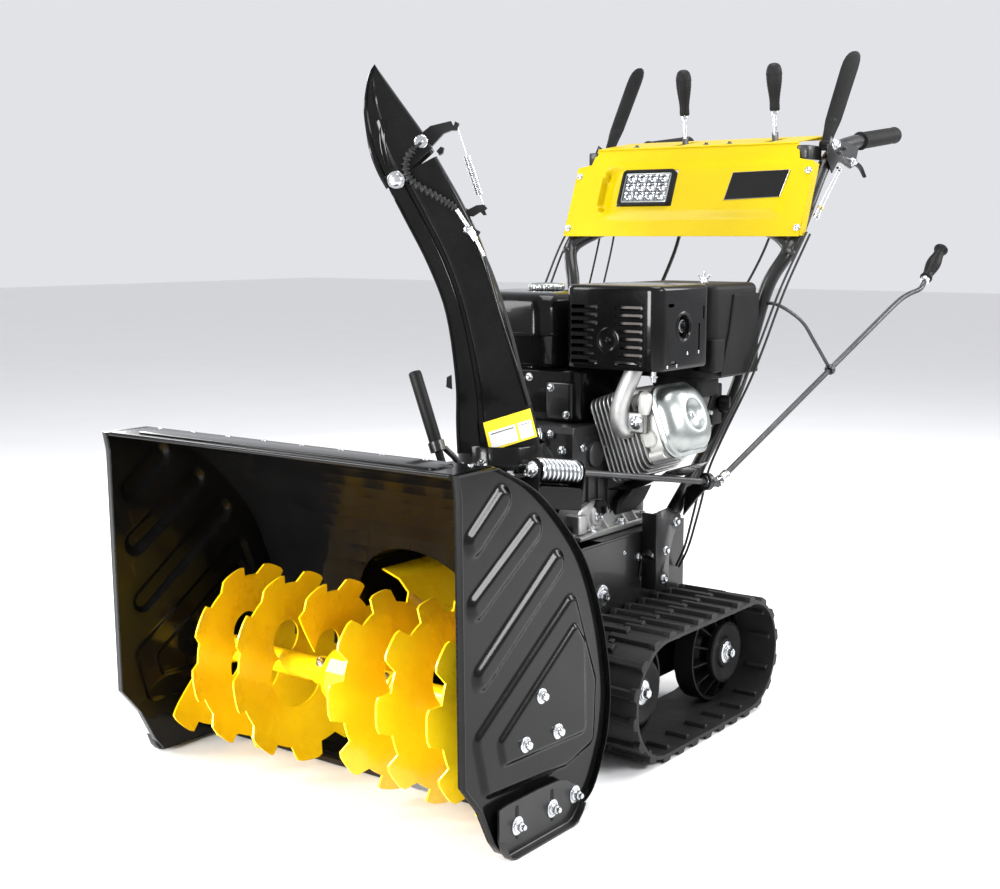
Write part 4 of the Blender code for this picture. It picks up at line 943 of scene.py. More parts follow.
    # cable end, bellows and conduit
    route = [(0.131, 1.026), (0.139, 1.0195), (0.145, 1.013), (0.152, 1.004), (0.1555, 0.992),
        (0.155, 0.98), (0.15, 0.969), (0.14, 0.96), (0.126, 0.951), (0.113, 0.944), (0.101, 0.937),
        (0.0905, 0.931), (0.082, 0.9255), (0.074, 0.919)]
    path = spline([chute_point(f, 0.06 - 0.0005 * i, z) for i, (f, z) in enumerate(route)], 14)
    radii = []
    for i in range(len(path)):
        k = i / (len(path) - 1)
        if k < 0.11:
            radii.append(0.0022)
        elif k > 0.97:
            radii.append(0.0034)
        else:
            radii.append(0.0056 + 0.0017 * math.sin(2 * math.pi * i / 9.0))
    piece = Piece("cable_bellows", "chute", sharp=60, slot="black_rubber")
    piece.add("rubber", tube(path, radii, 16))
    obj = piece.build()
    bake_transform(obj)

    piece = Piece("cable_ferrule", "chute", sharp=40)
    a, b, c = (chute_point(0.0745, 0.054, 0.92), chute_point(0.0545, 0.0525, 0.89),
        chute_point(0.03, 0.0512, 0.845))
    piece.add("zinc", tube([a, b], 0.0036, 16), tube([b, chute_point(0.047, 0.052, 0.878)], 0.0062,
        6), tube([chute_point(0.047, 0.052, 0.877), chute_point(0.043, 0.052, 0.871)], 0.0052, 6),
        tube([chute_point(0.043, 0.052, 0.871), c], 0.003, 14))
    clip = soft_block(Vector((-0.013, -0.0045, -0.007)), Vector((0.013, 0.0045, 0.007)), 0.002,
        0.0008, 3, 2)
    place = Matrix.Translation(chute_point(0.05, 0.05, 0.884)) @ Matrix(((HEADING.x, SIDEWAYS.x, 0, 0),
        (HEADING.y, SIDEWAYS.y, 0, 0), (0, 0, 1, 0), (0, 0, 0, 1)))
    piece.add("satin_black", moved(clip, place @ Matrix.Rotation(math.radians(-28), 4, "Y")))
    piece.add("zinc", *bolt(chute_point(0.057, 0.0545, 0.8885), SIDEWAYS, 0.0052, 1.2))
    line = spline([c, chute_point(0.02, 0.0512, 0.824), chute_point(0.004, 0.051, 0.78),
        chute_point(-0.01, 0.0505, 0.735), chute_point(-0.022, 0.05, 0.69),
        chute_point(-0.034, 0.049, 0.64), chute_point(-0.046, 0.048, 0.6)], 6)
    piece.add("rubber", tube(line, 0.0026, 12))
    piece.done()

    # the extension spring and its end hooks
    low, high = chute_point(0.03, 0, 0.924), chute_point(0.074, 0, 1.056)
    way = (high - low).normalized()
    c0, c1 = low + way * 0.022, high - way * 0.05
    u, v, _ = frame_on(way)
    coil = []
    turns = 21
    for i in range(turns * 14 + 1):
        t = 2 * math.pi * i / 14
        coil.append(c0 + (c1 - c0) * (i / (turns * 14)) + 0.0056 *
            (math.cos(t) * u + math.sin(t) * v))
    piece = Piece("deflector_coil", "chute", ["deflector_spring"], 60)
    piece.add("zinc", tube(coil, 0.0012, 8), tube([low, c0 + u * 0.0005], 0.0009, 8),
        tube([c1, high], 0.0009, 8))
    obj = piece.build()
    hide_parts("deflector_spring")
    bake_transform(obj)
    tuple(low)
    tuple(high)


def make_chute_base():
    """Bolted ring, a hold-down clip and the bolts where the chute meets the bucket."""
    piece = Piece("chute_ring", "chassis", slot="frame_black")
    axis = pivot("chute_turn")
    piece.add("satin_black", turned(Vector((axis.x, axis.y, 0)), UP, ((0.4835, 0.069),
        (0.4835, 0.0935), (0.4845, 0.0945), (0.49, 0.0945), (0.4905, 0.0935), (0.4905, 0.069)), 48,
        ring=True))
    for k, deg in enumerate((215, 275, 335, 35, 95, 155)):
        t = math.radians(deg)
        p = Vector((axis.x + 0.0885 * math.cos(t), axis.y + 0.0885 * math.sin(t), 0.4905))
        piece.add("zinc", *bolt(p, UP, 0.0062, 1.2, k))
        q = Vector((axis.x + 0.0885 * math.cos(t), axis.y + 0.0885 * math.sin(t), 0.4835))
        piece.add("zinc", rod(q, q - UP * 0.012, 0.0034, 12))
    piece.add("satin_black", soft_block(at(0.082, 0.385, 0.49), at(0.118, 0.412, 0.504), 0.006,
        0.002))
    piece.add("zinc", *bolt(at(0.1, 0.398, 0.5035), (0.2, -0.5, 1), 0.0085, 1.25))
    piece.add("zinc", *bolt(at(0.15, 0.41, 0.4905), (0, 0, 1), 0.007, 1.25),
        *bolt(at(0.168, 0.432, 0.4905), (0, 0, 1), 0.007, 1.25))
    piece.add("zinc", turned(Vector((0.118, FRONT + 0.385, 0.47)), UP, ((0.0, 0.006),
        (0.018, 0.006), (0.02, 0.0115), (0.029, 0.0125), (0.035, 0.0105), (0.037, 0.004)), 28))
    piece.done()


def make_tool():
    """The clean-out stick in its clip on the bucket's back."""
    lo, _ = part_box("cleanout_tool")
    a, b = Vector((lo.x + 0.0105, FRONT + 0.285, 0.66)), Vector((0.0995, FRONT + 0.285, 0.5435))
    w = (b - a).normalized()
    piece = Piece("cleanout_stick", "chassis", ["cleanout_tool"], 40)
    top = a - w * 0.005
    piece.add("plastic", turned(top, w, ((0.0, 0.0065), (0.0008, 0.009), (0.003, 0.0102),
        (0.008, 0.0105), (0.118, 0.0103), (0.121, 0.0092), (0.128, 0.0066), (0.228, 0.006)), 28))
    foot = top + w * 0.232
    piece.add("plastic", soft_block(foot + Vector((-0.02, -0.007, -0.016)), foot +
        Vector((0.02, 0.007, 0.01)), 0.005, 0.003))
    clip = top + w * 0.125
    piece.add("satin_black", turned(clip, w, ((-0.008, 0.0112), (-0.008, 0.0132), (0.008, 0.0132),
        (0.008, 0.0112)), 24, ring=True))
    piece.add("satin_black", tube(spline([clip + Vector((0.008, 0.008, -0.002)), clip +
        Vector((0.02, 0.03, -0.03)), Vector((0.115, FRONT + 0.345, 0.462))], 6), 0.005, 10))
    piece.done()


# ---------------------------------------------------------------- chute crank

def make_crank():
    worm = JOINTS["worm_spin"]
    a = Vector(worm["pos_m"])
    way = Vector(worm["axis"]).normalized()
    joint = pivot("crank_spin")
    length = (joint - a).length
    u, v, _ = frame_on(way)
    piece = Piece("worm_coil", "worm", ["worm_rod"], 60)
    # two starts of 9.3 mm pitch, to match the chute ring's 56 teeth at 28 turns to 1
    lead, steps = 0.0186, 26
    for start in (0, math.pi):
        coil = []
        for i in range(int(0.08 / lead * steps) + 1):
            t = start + 2 * math.pi * i / steps
            coil.append(a + way * (-0.008 + lead * i / steps) + 0.0172 *
                (math.cos(t) * u + math.sin(t) * v))
        piece.add("zinc", tube(coil, 0.0036, 12))
    piece.add("zinc", turned(a, way, ((-0.0115, 0.0), (-0.0115, 0.0195), (-0.01, 0.0205),
        (-0.0085, 0.02), (-0.008, 0.015), (0.072, 0.015), (0.0725, 0.0195), (0.0745, 0.0195),
        (0.075, 0.012)), 36))
    piece.add("zinc", turned(a, way, ((-0.03, 0.0), (-0.03, 0.0068), (-0.029, 0.0084),
        (-0.023, 0.0088), (-0.0225, 0.0135), (-0.0205, 0.0138), (-0.0205, 0.006), (-0.011, 0.006)),
        24))
    piece.add("dark_steel", turned(a, way, ((0.074, 0.0058), (length - 0.01, 0.0058)), 20))
    piece.add("dark_steel", turned(a, way, ((length - 0.022, 0.0085), (length - 0.02, 0.0092),
        (length - 0.008, 0.0092), (length - 0.006, 0.008)), 20))
    for s in (1, -1):
        fork = [(length - 0.012, -0.006), (length + 0.001, -0.0062), (length + 0.0045, -0.003),
            (length + 0.0045, 0.003), (length + 0.001, 0.0062), (length - 0.012, 0.006)]
        piece.add("dark_steel", plate_2d(fork, lambda p, q, h, s=s: a + way * p + v * q + u *
            (s * (0.0062 + h)), 0.0022))
    piece.add("zinc", rod(joint - u * 0.0105, joint + u * 0.0105, 0.003, 16))
    piece.done()

    piece = Piece("worm_cradle", "chassis", ["worm_bracket"], 34)
    for h0 in (-0.02, 0.079):
        outline = [(0.018, -0.062), (0.018, 0.002)]
        outline += [(0.018 * math.cos(t), 0.002 + 0.018 * math.sin(t)) for t in
            [math.pi * i / 16 for i in range(1, 16)]]
        outline += [(-0.018, 0.002), (-0.018, -0.062)]
        piece.add("gloss_black", extruded(outline, lambda p, q, h, h0=h0: a + way * (h0 + h) + u *
            p + v * q, 0.003, 0.0006))
    low = rounded(-0.018, 0.018, -0.019, 0.081, 0.003, 2)
    piece.add("gloss_black", extruded(low, lambda p, q, h: a + u * p + way * q + v * (-0.062 + h),
        0.003, 0.0006))
    side = [(-0.0195, -0.061), (0.0815, -0.061), (0.0815, -0.03), (0.074, -0.0245),
        (-0.012, -0.0245), (-0.0195, -0.03)]
    for s in (1, -1):
        piece.add("gloss_black", extruded(side, lambda p, q, h, s=s: a + way * p + v * q + u *
            (s * (0.0155 + h)), 0.003, 0.0006))
    piece.done()

    # the arm that carries the worm rod's rear end
    lug = a + way * (length - 0.03)
    piece = Piece("rod_bearing", "chassis", ["crank_support"], 36)
    piece.add("satin_black", turned(lug, way, ((-0.006, 0.015), (-0.005, 0.0162), (0.005, 0.0162),
        (0.006, 0.015), (0.006, 0.0066), (-0.006, 0.0066)), 36, ring=True))
    piece.add("zinc", turned(lug, way, ((-0.0068, 0.011), (0.0068, 0.011), (0.0068, 0.0066),
        (-0.0068, 0.0066)), 28, ring=True))
    foot = at(0.2215, 0.862, 0.388)
    loops = []
    for k, wide in ((0.0, 0.0145), (0.35, 0.0165), (0.75, 0.022), (1.0, 0.026)):
        p = lug.lerp(foot, k)
        loops.append([p + way * t + v * h for t, h in ((-0.0022, wide), (0.0022, wide),
            (0.0022, -wide), (-0.0022, -wide))])
    piece.add("satin_black", loft(loops))
    piece.add("zinc", *bolt(foot + way * 0.002 + v * 0.012, way, 0.005, 1.2))
    piece.done(0.0005)

    crank = Vector(JOINTS["crank_spin"]["axis"]).normalized()
    eye = joint + crank * 0.43
    end = Vector((0.369, FRONT + 1.742, 0.85))
    grip_way = (end - at(0.36, 1.6, 0.73)).normalized()
    grip_start = end - grip_way * 0.105
    path = [joint + crank * 0.02, joint + crank * 0.05, eye - crank * 0.1, eye, eye + crank * 0.15,
        at(0.352, 1.53, 0.735), at(0.357, 1.585, 0.752), grip_start - grip_way * 0.03, grip_start +
        grip_way * 0.004]
    piece = Piece("crank_bar", "crank", ["crank_rod"], 50)
    piece.add("dark_steel", tube(spline(path, 8), 0.0055, 18))
    piece.add("zinc", turned(joint, crank, ((0.01, 0.007), (0.012, 0.0088), (0.03, 0.0088),
        (0.033, 0.0064)), 18))
    cu, cv, _ = frame_on(crank)
    for s in (1, -1):
        fork = [(0.012, -0.006), (-0.001, -0.006), (-0.0042, -0.003), (-0.0042, 0.003),
            (-0.001, 0.006), (0.012, 0.006)]
        piece.add("zinc", plate_2d(fork, lambda p, q, h, s=s: joint + crank * p + cu * q + cv *
            (s * (0.0058 + h)), 0.002))
    piece.add("zinc", rod(joint - cv * 0.0098, joint + cv * 0.0098, 0.0028, 14))
    piece.add("zinc", turned(grip_start, grip_way, ((-0.007, 0.0085), (-0.006, 0.0102),
        (0.0015, 0.0102), (0.002, 0.009)), 24))
    piece.done()

    profile = [(0.0015, 0.01), (0.003, 0.0128), (0.006, 0.0138), (0.011, 0.0118), (0.018, 0.0112)]
    for i in range(26):
        k = i / 25
        swell = 0.0112 + 0.0042 * math.sin(math.pi * min(1.0, k * 1.08)) ** 1.3
        profile.append((0.02 + 0.068 * k, swell + (0.0005 if i % 2 else -0.0004)))
    profile += [(0.091, 0.0122), (0.095, 0.0142), (0.099, 0.0156), (0.1025, 0.0152),
        (0.1048, 0.012), (0.1055, 0.0)]
    piece = Piece("crank_handle", "crank", ["crank_grip"], 60)
    piece.add("plastic", turned(grip_start, grip_way, profile, 28))
    piece.done()


# ---------------------------------------------------------------- engine

def capsule(cx, cz, half, radius, steps=8):
    """A slot's outline: a rounded bar of (a, b) points."""
    out = []
    for i in range(steps + 1):
        t = -math.pi / 2 + math.pi * i / steps
        out.append((cx + half - radius + radius * math.cos(t), cz + radius * math.sin(t)))
    for i in range(steps + 1):
        t = math.pi / 2 + math.pi * i / steps
        out.append((cx - half + radius + radius * math.cos(t), cz + radius * math.sin(t)))
    return out


def cut(obj, shapes):
    """Cuts the shapes out of the object and keeps the result as its mesh."""
    points, faces = [], []
    for p, f in shapes:
        base = len(points)
        points += [tuple(q) for q in p]
        faces += [tuple(base + i for i in face) for face in f]
    mesh = bpy.data.meshes.new("cutter")
    mesh.from_pydata(points, [], faces)
    bm = bmesh.new()
    bm.from_mesh(mesh)
    bmesh.ops.recalc_face_normals(bm, faces=bm.faces)
    bm.to_mesh(mesh)
    bm.free()
    tool = bpy.data.objects.new("cutter", mesh)
    bpy.context.scene.collection.objects.link(tool)
    modifier = obj.modifiers.new("cut", "BOOLEAN")
    modifier.operation = "DIFFERENCE"
    modifier.object = tool
    modifier.solver = "EXACT"
    modifier.use_self = True
    graph = bpy.context.evaluated_depsgraph_get()
    done = bpy.data.meshes.new_from_object(obj.evaluated_get(graph))
    obj.modifiers.remove(modifier)
    obj.data = done
    bpy.data.objects.remove(tool)
    obj.data.set_sharp_from_angle(angle=math.radians(35))


def make_muffler():
    lo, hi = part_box("muffler_guard")
    outer = soft_block(lo, hi, 0.024, 0.0085, 8, 4)
    wall = 0.0022
    loops_in = soft_block(lo + Vector((wall, wall, -0.02)), hi - Vector((wall, wall, wall)), 0.022,
        0.007, 8, 4)
    piece = Piece("muffler_shield", "chassis", ["muffler_guard"], 35)
    piece.add("gloss_black", outer)
    obj = piece.build()
    cut(obj, [loops_in])
    slots = []
    through = lambda a, b, h: Vector((a, lo.y - 0.01 + h, b))
    x_left, x_right = lo.x + 0.045, lo.x + 0.137
    for k in range(8):
        z = hi.z - 0.0385 - k * 0.0138
        short = (0, 0, 0, 7, 10, 10, 7, 0)[k] * 0.001
        slots.append(extruded(capsule(x_left - short / 2, z, 0.0285 - short / 2, 0.0036), through,
            0.022))
        slots.append(extruded(capsule(x_right + short / 2, z, 0.0285 - short / 2, 0.0036), through,
            0.022))
    side = lambda a, b, h: Vector((hi.x - 0.012 + h, a, b))
    hole = [(lo.y + 0.086 + 0.0205 * math.cos(t), lo.z + 0.078 + 0.0205 * math.sin(t)) for t in
        [2 * math.pi * i / 36 for i in range(36)]]
    slots.append(extruded(hole, side, 0.03))
    for d, z, half, up in ((0.042, hi.z - 0.034, 0.01, False), (0.158, hi.z - 0.05, 0.012, True),
            (0.142, hi.z - 0.092, 0.024, True), (0.052, lo.z + 0.016, 0.009, False)):
        if up:
            ring = [(lo.y + d + b, z + a) for a, b in capsule(0, 0, half, 0.0026)]
        else:
            ring = [(lo.y + d + a, z + b) for a, b in capsule(0, 0, half, 0.003)]
        slots.append(extruded(ring, side, 0.03))
    cut(obj, slots)
    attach(obj, "chassis")
    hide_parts("muffler_guard")

    piece = Piece("muffler_shield_trim", "chassis", slot="black_paint")
    # louvre lips below every slot, the centre dimple with its bolt, and the dished side hole
    for k in range(8):
        z = hi.z - 0.0385 - k * 0.0138
        for x in (x_left, x_right):
            lip = [Vector((x + s * 0.021, lo.y + y, z - 0.0034 + dz)) for s in (-1, 1) for y, dz in
                ((0.0, 0.0), (0.0045, 0.002), (0.0052, 0.0012), (0.0006, -0.0012))]
            piece.add("gloss_black", loft([lip[:4], lip[4:]]))
    centre = Vector((lo.x + 0.096, lo.y, hi.z - 0.096))
    piece.add("gloss_black", turned(centre, (0, -1, 0), ((-0.001, 0.0235), (0.0008, 0.023),
        (0.0018, 0.0205), (0.0012, 0.018), (-0.0006, 0.011), (-0.0006, 0.0)), 48))
    piece.add("gloss_black", *bolt(centre + Vector((0, 0.0005, 0)), (0, -1, 0), 0.0062, 1.15))
    dish = Vector((hi.x, lo.y + 0.086, lo.z + 0.078))
    piece.add("gloss_black", turned(dish, (1, 0, 0), ((-0.01, 0.0198), (-0.006, 0.0205),
        (0.0002, 0.0225), (0.0014, 0.0248), (0.0008, 0.027), (-0.0006, 0.0276), (-0.001, 0.021),
        (-0.01, 0.019)), 48, ring=True))
    piece.add("zinc", turned(dish + Vector((0, 0.006, 0)), (1, 0, 0), ((-0.024, 0.0125),
        (-0.008, 0.0125), (-0.006, 0.0115), (-0.006, 0.01), (-0.024, 0.0095)), 36, ring=True))
    for y in (0.03, 0.062, 0.1, 0.14):
        piece.add("zinc", turned(Vector((hi.x, lo.y + y, lo.z + 0.01 + 0.02 * (y > 0.09))),
            (1, 0, 0), ((-0.0005, 0.003), (0.001, 0.0028), (0.0016, 0.0012)), 14))
    piece.add("zinc", rod(Vector((hi.x - 0.016, lo.y + 0.012, lo.z - 0.016)),
        Vector((hi.x - 0.016, lo.y + 0.012, lo.z + 0.004)), 0.0045, 16))
    piece.add("zinc", *bolt(Vector((hi.x - 0.016, lo.y + 0.012, lo.z - 0.006)), (0, 0, -1), 0.0062,
        1.2))
    piece.done()
    retouch("burnt_steel", "muffler")
    retouch("casting", "exhaust_elbow")


def cyl_frame():
    """The tilted cylinder's origin, and its directions along it, rearward and square to both."""
    tilt = math.radians(20)
    origin = Vector((0, FRONT + 0.79, 0.4617))
    s = Vector((math.cos(tilt), 0, math.sin(tilt)))
    return origin, s, Vector((0, 1, 0)), Vector((-math.sin(tilt), 0, math.cos(tilt)))


def make_cylinder():
    origin, s, d, c = cyl_frame()
    place = lambda a, b, h: origin + s * h + d * a + c * b
    piece = Piece("cylinder_fins", "chassis", ["cylinder_block"], 32)
    piece.add("casting", loft([[place(a, b, h) for a, b in
        rounded(-0.058, 0.058, -0.06, 0.06, 0.02, 5)] for h in (0.135, 0.226)]))
    for k in range(10):
        h = 0.1365 + k * 0.0092
        grow = 0.0 if k < 7 else -0.004 * (k - 6)
        outline = rounded(-0.076 - grow * 0.2, 0.076 + grow * 0.2, -0.08 - grow, 0.08 + grow,
            0.022, 6)
        inner = inset_outline(outline, 0.0008)
        piece.add("casting", loft([[place(a, b, z) for a, b in ring] for ring, z in ((inner, h),
            (outline, h + 0.0008), (outline, h + 0.0026), (inner, h + 0.0034))]))
    head = []
    for h, ha, hb, r in ((0.225, 0.06, 0.058, 0.018), (0.2275, 0.066, 0.062, 0.02),
            (0.244, 0.067, 0.061, 0.022), (0.256, 0.066, 0.058, 0.024),
            (0.258, 0.071, 0.061, 0.024), (0.2615, 0.0715, 0.0615, 0.024)):
        head.append([place(a, b, h) for a, b in rounded(-ha, ha, -hb, hb, r, 7)])
    piece.add("head", loft(head))
    for a, b in ((-0.062, 0.052), (0.062, 0.052), (-0.062, -0.052), (0.062, -0.052)):
        boss = origin + s * 0.236 + d * a + c * b
        piece.add("head", turned(boss, s, ((-0.012, 0.0105), (0.016, 0.01), (0.018, 0.0085)), 24))
    # spark plug well and two bolts on the near faces
    plug = origin + s * 0.232 - d * 0.055 - c * 0.02
    piece.add("head", turned(plug, -d, ((0.0, 0.0175), (0.014, 0.0165), (0.017, 0.014)), 28))
    piece.add("zinc", *bolt(origin + s * 0.205 - d * 0.077 + c * 0.048, -d, 0.007, 1.2),
        *bolt(origin + s * 0.24 - d * 0.064 + c * 0.058, -d, 0.0062, 1.2))
    piece.done()

    piece = Piece("rocker_cover", "chassis", ["valve_cover"], 60)
    rows = [(0.26, 0.0775, 0.0655, 0.036), (0.2615, 0.079, 0.067, 0.037),
        (0.265, 0.079, 0.067, 0.037), (0.2668, 0.077, 0.065, 0.037),
        (0.2672, 0.0725, 0.0605, 0.035), (0.269, 0.071, 0.0595, 0.035)]
    for k in range(1, 15):
        t = k / 14
        turn = math.pi / 2 * t
        ha, hb = 0.03 + 0.041 * math.cos(turn), 0.0295 + 0.03 * math.cos(turn)
        rows.append((0.269 + 0.0295 * math.sin(turn), ha, hb, (0.99 * t + 0.62 * (1 - t)) *
            min(ha, hb)))
    rows += [(0.2978, 0.0283, 0.028, 0.0277), (0.2962, 0.0262, 0.0262, 0.0258),
        (0.2932, 0.0222, 0.0222, 0.0218), (0.2908, 0.0165, 0.0165, 0.0162),
        (0.2896, 0.01, 0.01, 0.0098), (0.2893, 0.0045, 0.0045, 0.0043)]
    loops = [[place(a, b, h) for a, b in rounded(-ha, ha, -hb, hb, r, 9)] for h, ha, hb, r in rows]
    piece.add("chrome", loft(loops))
    piece.add("zinc", *bolt(origin + s * 0.2895, s, 0.0062, 1.2))
    piece.done()

    # exhaust elbow: a thick cast pipe from the cylinder's top face up into the muffler
    piece = Piece("exhaust_pipe", "chassis", ["exhaust_elbow"], 60)
    elbow = [at(0.186, 0.718, 0.535), at(0.183, 0.705, 0.5365), at(0.179, 0.6975, 0.55),
        at(0.18, 0.695, 0.575), at(0.188, 0.6965, 0.602), at(0.197, 0.704, 0.63),
        at(0.201, 0.712, 0.652)]
    radii = [0.014, 0.016, 0.0168, 0.0164, 0.016, 0.016, 0.0158]
    path = spline(elbow, 6)
    widths = list(np.interp(np.linspace(0, 6, len(path)), range(7), radii))
    piece.add("casting", tube(path, [float(w) for w in widths], 28))
    piece.add("casting", soft_block(at(0.168, 0.7, 0.533), at(0.226, 0.714, 0.57), 0.012, 0.004))
    piece.add("zinc", *bolt(at(0.211, 0.6995, 0.552), (0, -1, 0), 0.0098, 1.3))
    piece.add("head", turned(at(0.224, 0.706, 0.572), (0.15, -0.1, 1), ((-0.004, 0.009),
        (0.004, 0.011), (0.026, 0.0115), (0.032, 0.01), (0.035, 0.005)), 28))
    piece.done()

    # lower cowl sheet that curves under the cylinder
    piece = Piece("cylinder_cowl", "chassis", slot="black_paint")
    arc = []
    for k in range(13):
        t = k / 12
        p = place(0, -0.086 - 0.012 * math.sin(math.pi * t), 0.12 + 0.13 * t)
        arc.append(p)
    loops = []
    for y in (-0.07, 0.08):
        loops.append([p + d * y for p in arc] + [p + d * y + c * 0.0025 for p in reversed(arc)])
    piece.add("gloss_black", loft(loops))
    piece.done(0.0006)


def make_intake():
    """Air cleaner with its wing nut, the carburettor with bowl, linkage and choke knob."""
    lo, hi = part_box("air_filter_cover")
    z0 = 0.615
    body = soft_block(Vector((lo.x, lo.y, z0 + 0.02)), hi, 0.022, 0.012, 6, 4)
    piece = Piece("air_cleaner", "chassis", ["air_filter_cover"], 40)
    piece.add("plastic", body)
    step = soft_block(Vector((lo.x + 0.008, lo.y - 0.001, z0)),
        Vector((hi.x - 0.006, hi.y - 0.004, z0 + 0.028)), 0.02, 0.004)
    piece.add("plastic", step)
    # raised side field with slanted front edge
    face = [(0.03, z0 + 0.004), (0.06, z0 + 0.086), (0.076, z0 + 0.155), (0.176, z0 + 0.155),
        (0.178, z0 + 0.004)]
    piece.add("plastic", extruded([(lo.y + a, b) for a, b in face], lambda a, b, h:
        Vector((hi.x - 0.002 + h, a, b)), 0.006, 0.002))
    piece.add("plastic", soft_block(Vector((0.13, lo.y + 0.002, 0.58)),
        Vector((0.236, lo.y + 0.086, z0 + 0.004)), 0.014, 0.004))
    piece.add("plastic", soft_block(Vector((0.216, lo.y - 0.001, 0.628)),
        Vector((0.2655, lo.y + 0.046, 0.69)), 0.008, 0.003))
    nut = Vector((hi.x - 0.072, lo.y + 0.095, hi.z))
    piece.add("zinc", rod(nut, nut + UP * 0.02, 0.0026, 12), turned(nut, UP, ((-0.001, 0.0085),
        (0.001, 0.0085), (0.002, 0.006), (0.009, 0.005), (0.01, 0.0035)), 20))
    for sx in (1, -1):
        wing = [(0.0, 0.002), (0.006, 0.004), (0.013, 0.012), (0.0125, 0.015), (0.009, 0.0145),
            (0.003, 0.009)]
        piece.add("zinc", extruded([(sx * a, b) for a, b in wing], lambda a, b, h: nut +
            Vector((a, -0.001 + h, b)), 0.002, 0.0004))
    piece.done(0.0008)

    lo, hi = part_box("carburetor")
    piece = Piece("carburetor_parts", "chassis", ["carburetor"], 40)
    piece.add("casting", soft_block(Vector((0.168, lo.y + 0.004, 0.532)),
        Vector((0.214, FRONT + 0.978, 0.583)), 0.012, 0.004))
    piece.add("casting", turned(at(0.19, 0.883, 0.56), (0, 1, 0), ((0.0, 0.021), (0.008, 0.022),
        (0.012, 0.018), (0.1, 0.018), (0.106, 0.022), (0.112, 0.021)), 28))
    for x, z in ((0.2055, 0.572), (0.2055, 0.548)):
        piece.add("casting", turned(at(x, 0.925, z), (1, 0, 0), ((0.0, 0.0085), (0.01, 0.008),
            (0.012, 0.0065)), 20))
    piece.add("brass", turned(at(0.19, 0.95, 0), UP, ((0.489, 0.0), (0.489, 0.0075),
        (0.4945, 0.0078), (0.4955, 0.015), (0.499, 0.019), (0.503, 0.0205), (0.53, 0.0208),
        (0.533, 0.0225), (0.535, 0.0225)), 36))
    piece.add("brass", *bolt(at(0.19, 0.95, 0.49), (0, 0, -1), 0.0058, 1.1))
    piece.add("zinc", turned(at(0.2065, 0.962, 0.545), (1, 0, 0), ((0.0, 0.0052), (0.013, 0.0048)),
        16))
    # throttle link and its spring
    lever = [(-0.006, -0.006), (0.03, 0.012), (0.034, 0.018), (0.028, 0.022), (-0.004, 0.006)]
    piece.add("zinc", extruded(lever, lambda a, b, h: at(0.207 + h, 0.912 + a, 0.582 + b), 0.0018,
        0.0004))
    piece.add("zinc", tube(spline([at(0.2095, 0.936, 0.6), at(0.2115, 0.9, 0.606),
        at(0.212, 0.868, 0.6)], 5), 0.0011, 8))
    # choke knob, black and lobed
    hub = at(0.222, 0.985, 0.56)
    loops = []
    for h, r in ((0.0, 0.013), (0.003, 0.0155), (0.018, 0.0155), (0.021, 0.0135)):
        u, v, w = frame_on((1, 0.45, 0))
        loops.append([hub + w * h + (r + 0.0016 * math.cos(8 * t)) *
            (math.cos(t) * u + math.sin(t) * v) for t in
            [2 * math.pi * i / 48 for i in range(48)]])
    piece.add("plastic", loft(loops))
    piece.add("plastic", soft_block(at(0.196, 0.962, 0.52), at(0.219, 1.006, 0.598), 0.006, 0.003))
    piece.add("plastic", tube(spline([at(0.215, 0.975, 0.605), at(0.222, 0.955, 0.575),
        at(0.2235, 0.93, 0.545), at(0.219, 0.905, 0.52)], 6), 0.003, 10))
    piece.done(0.0004)


def make_tank():
    lo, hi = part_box("fuel_tank")
    piece = Piece("tank_shell", "chassis", ["fuel_tank"], 60)
    seam = lo.z + 0.062
    rows = ((lo.z, 0.016), (lo.z + 0.003, 0.008), (lo.z + 0.01, 0.003), (seam - 0.004, 0.001),
        (seam - 0.002, -0.0), (seam - 0.0015, -0.004), (seam + 0.0015, -0.004),
        (seam + 0.002, 0.0), (hi.z - 0.03, 0.002), (hi.z - 0.014, 0.006), (hi.z - 0.006, 0.013),
        (hi.z - 0.002, 0.022), (hi.z, 0.036))
    loops = []
    for z, inset in rows:
        loops.append([Vector((x, y, z)) for x, y in rounded(lo.x + 0.004 + inset, hi.x - 0.004 -
            inset, lo.y + 0.004 + inset, hi.y - 0.004 - inset, max(0.04 - inset * 0.5, 0.01), 8)])
    piece.add("gloss_black", loft(loops))
    centre = pivot("fuel_cap_turn")
    neck = Vector((centre.x, centre.y, 0))
    piece.add("gloss_black", turned(neck, UP, ((hi.z - 0.004, 0.044), (hi.z + 0.0005, 0.042),
        (hi.z + 0.0005, 0.034), (hi.z - 0.003, 0.032)), 40))
    piece.done()
    lo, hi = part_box("fuel_cap")
    piece = Piece("tank_cap", "fuel_cap", ["fuel_cap"], 40)
    loops = []
    for z, r, wave in ((lo.z, 0.03, 0), (lo.z + 0.001, 0.0325, 0.0009),
            (lo.z + 0.004, 0.0335, 0.0009), (hi.z - 0.006, 0.0335, 0.0009),
            (hi.z - 0.003, 0.0325, 0.0004), (hi.z - 0.001, 0.029, 0), (hi.z - 0.0005, 0.024, 0),
            (hi.z - 0.002, 0.0215, 0), (hi.z - 0.002, 0.004, 0)):
        loops.append([Vector((centre.x + (r + wave * math.cos(24 * t)) * math.cos(t), centre.y +
            (r + wave * math.cos(24 * t)) * math.sin(t), z)) for t in
            [2 * math.pi * i / 144 for i in range(144)]])
    piece.add("chrome", loft(loops))
    piece.done()


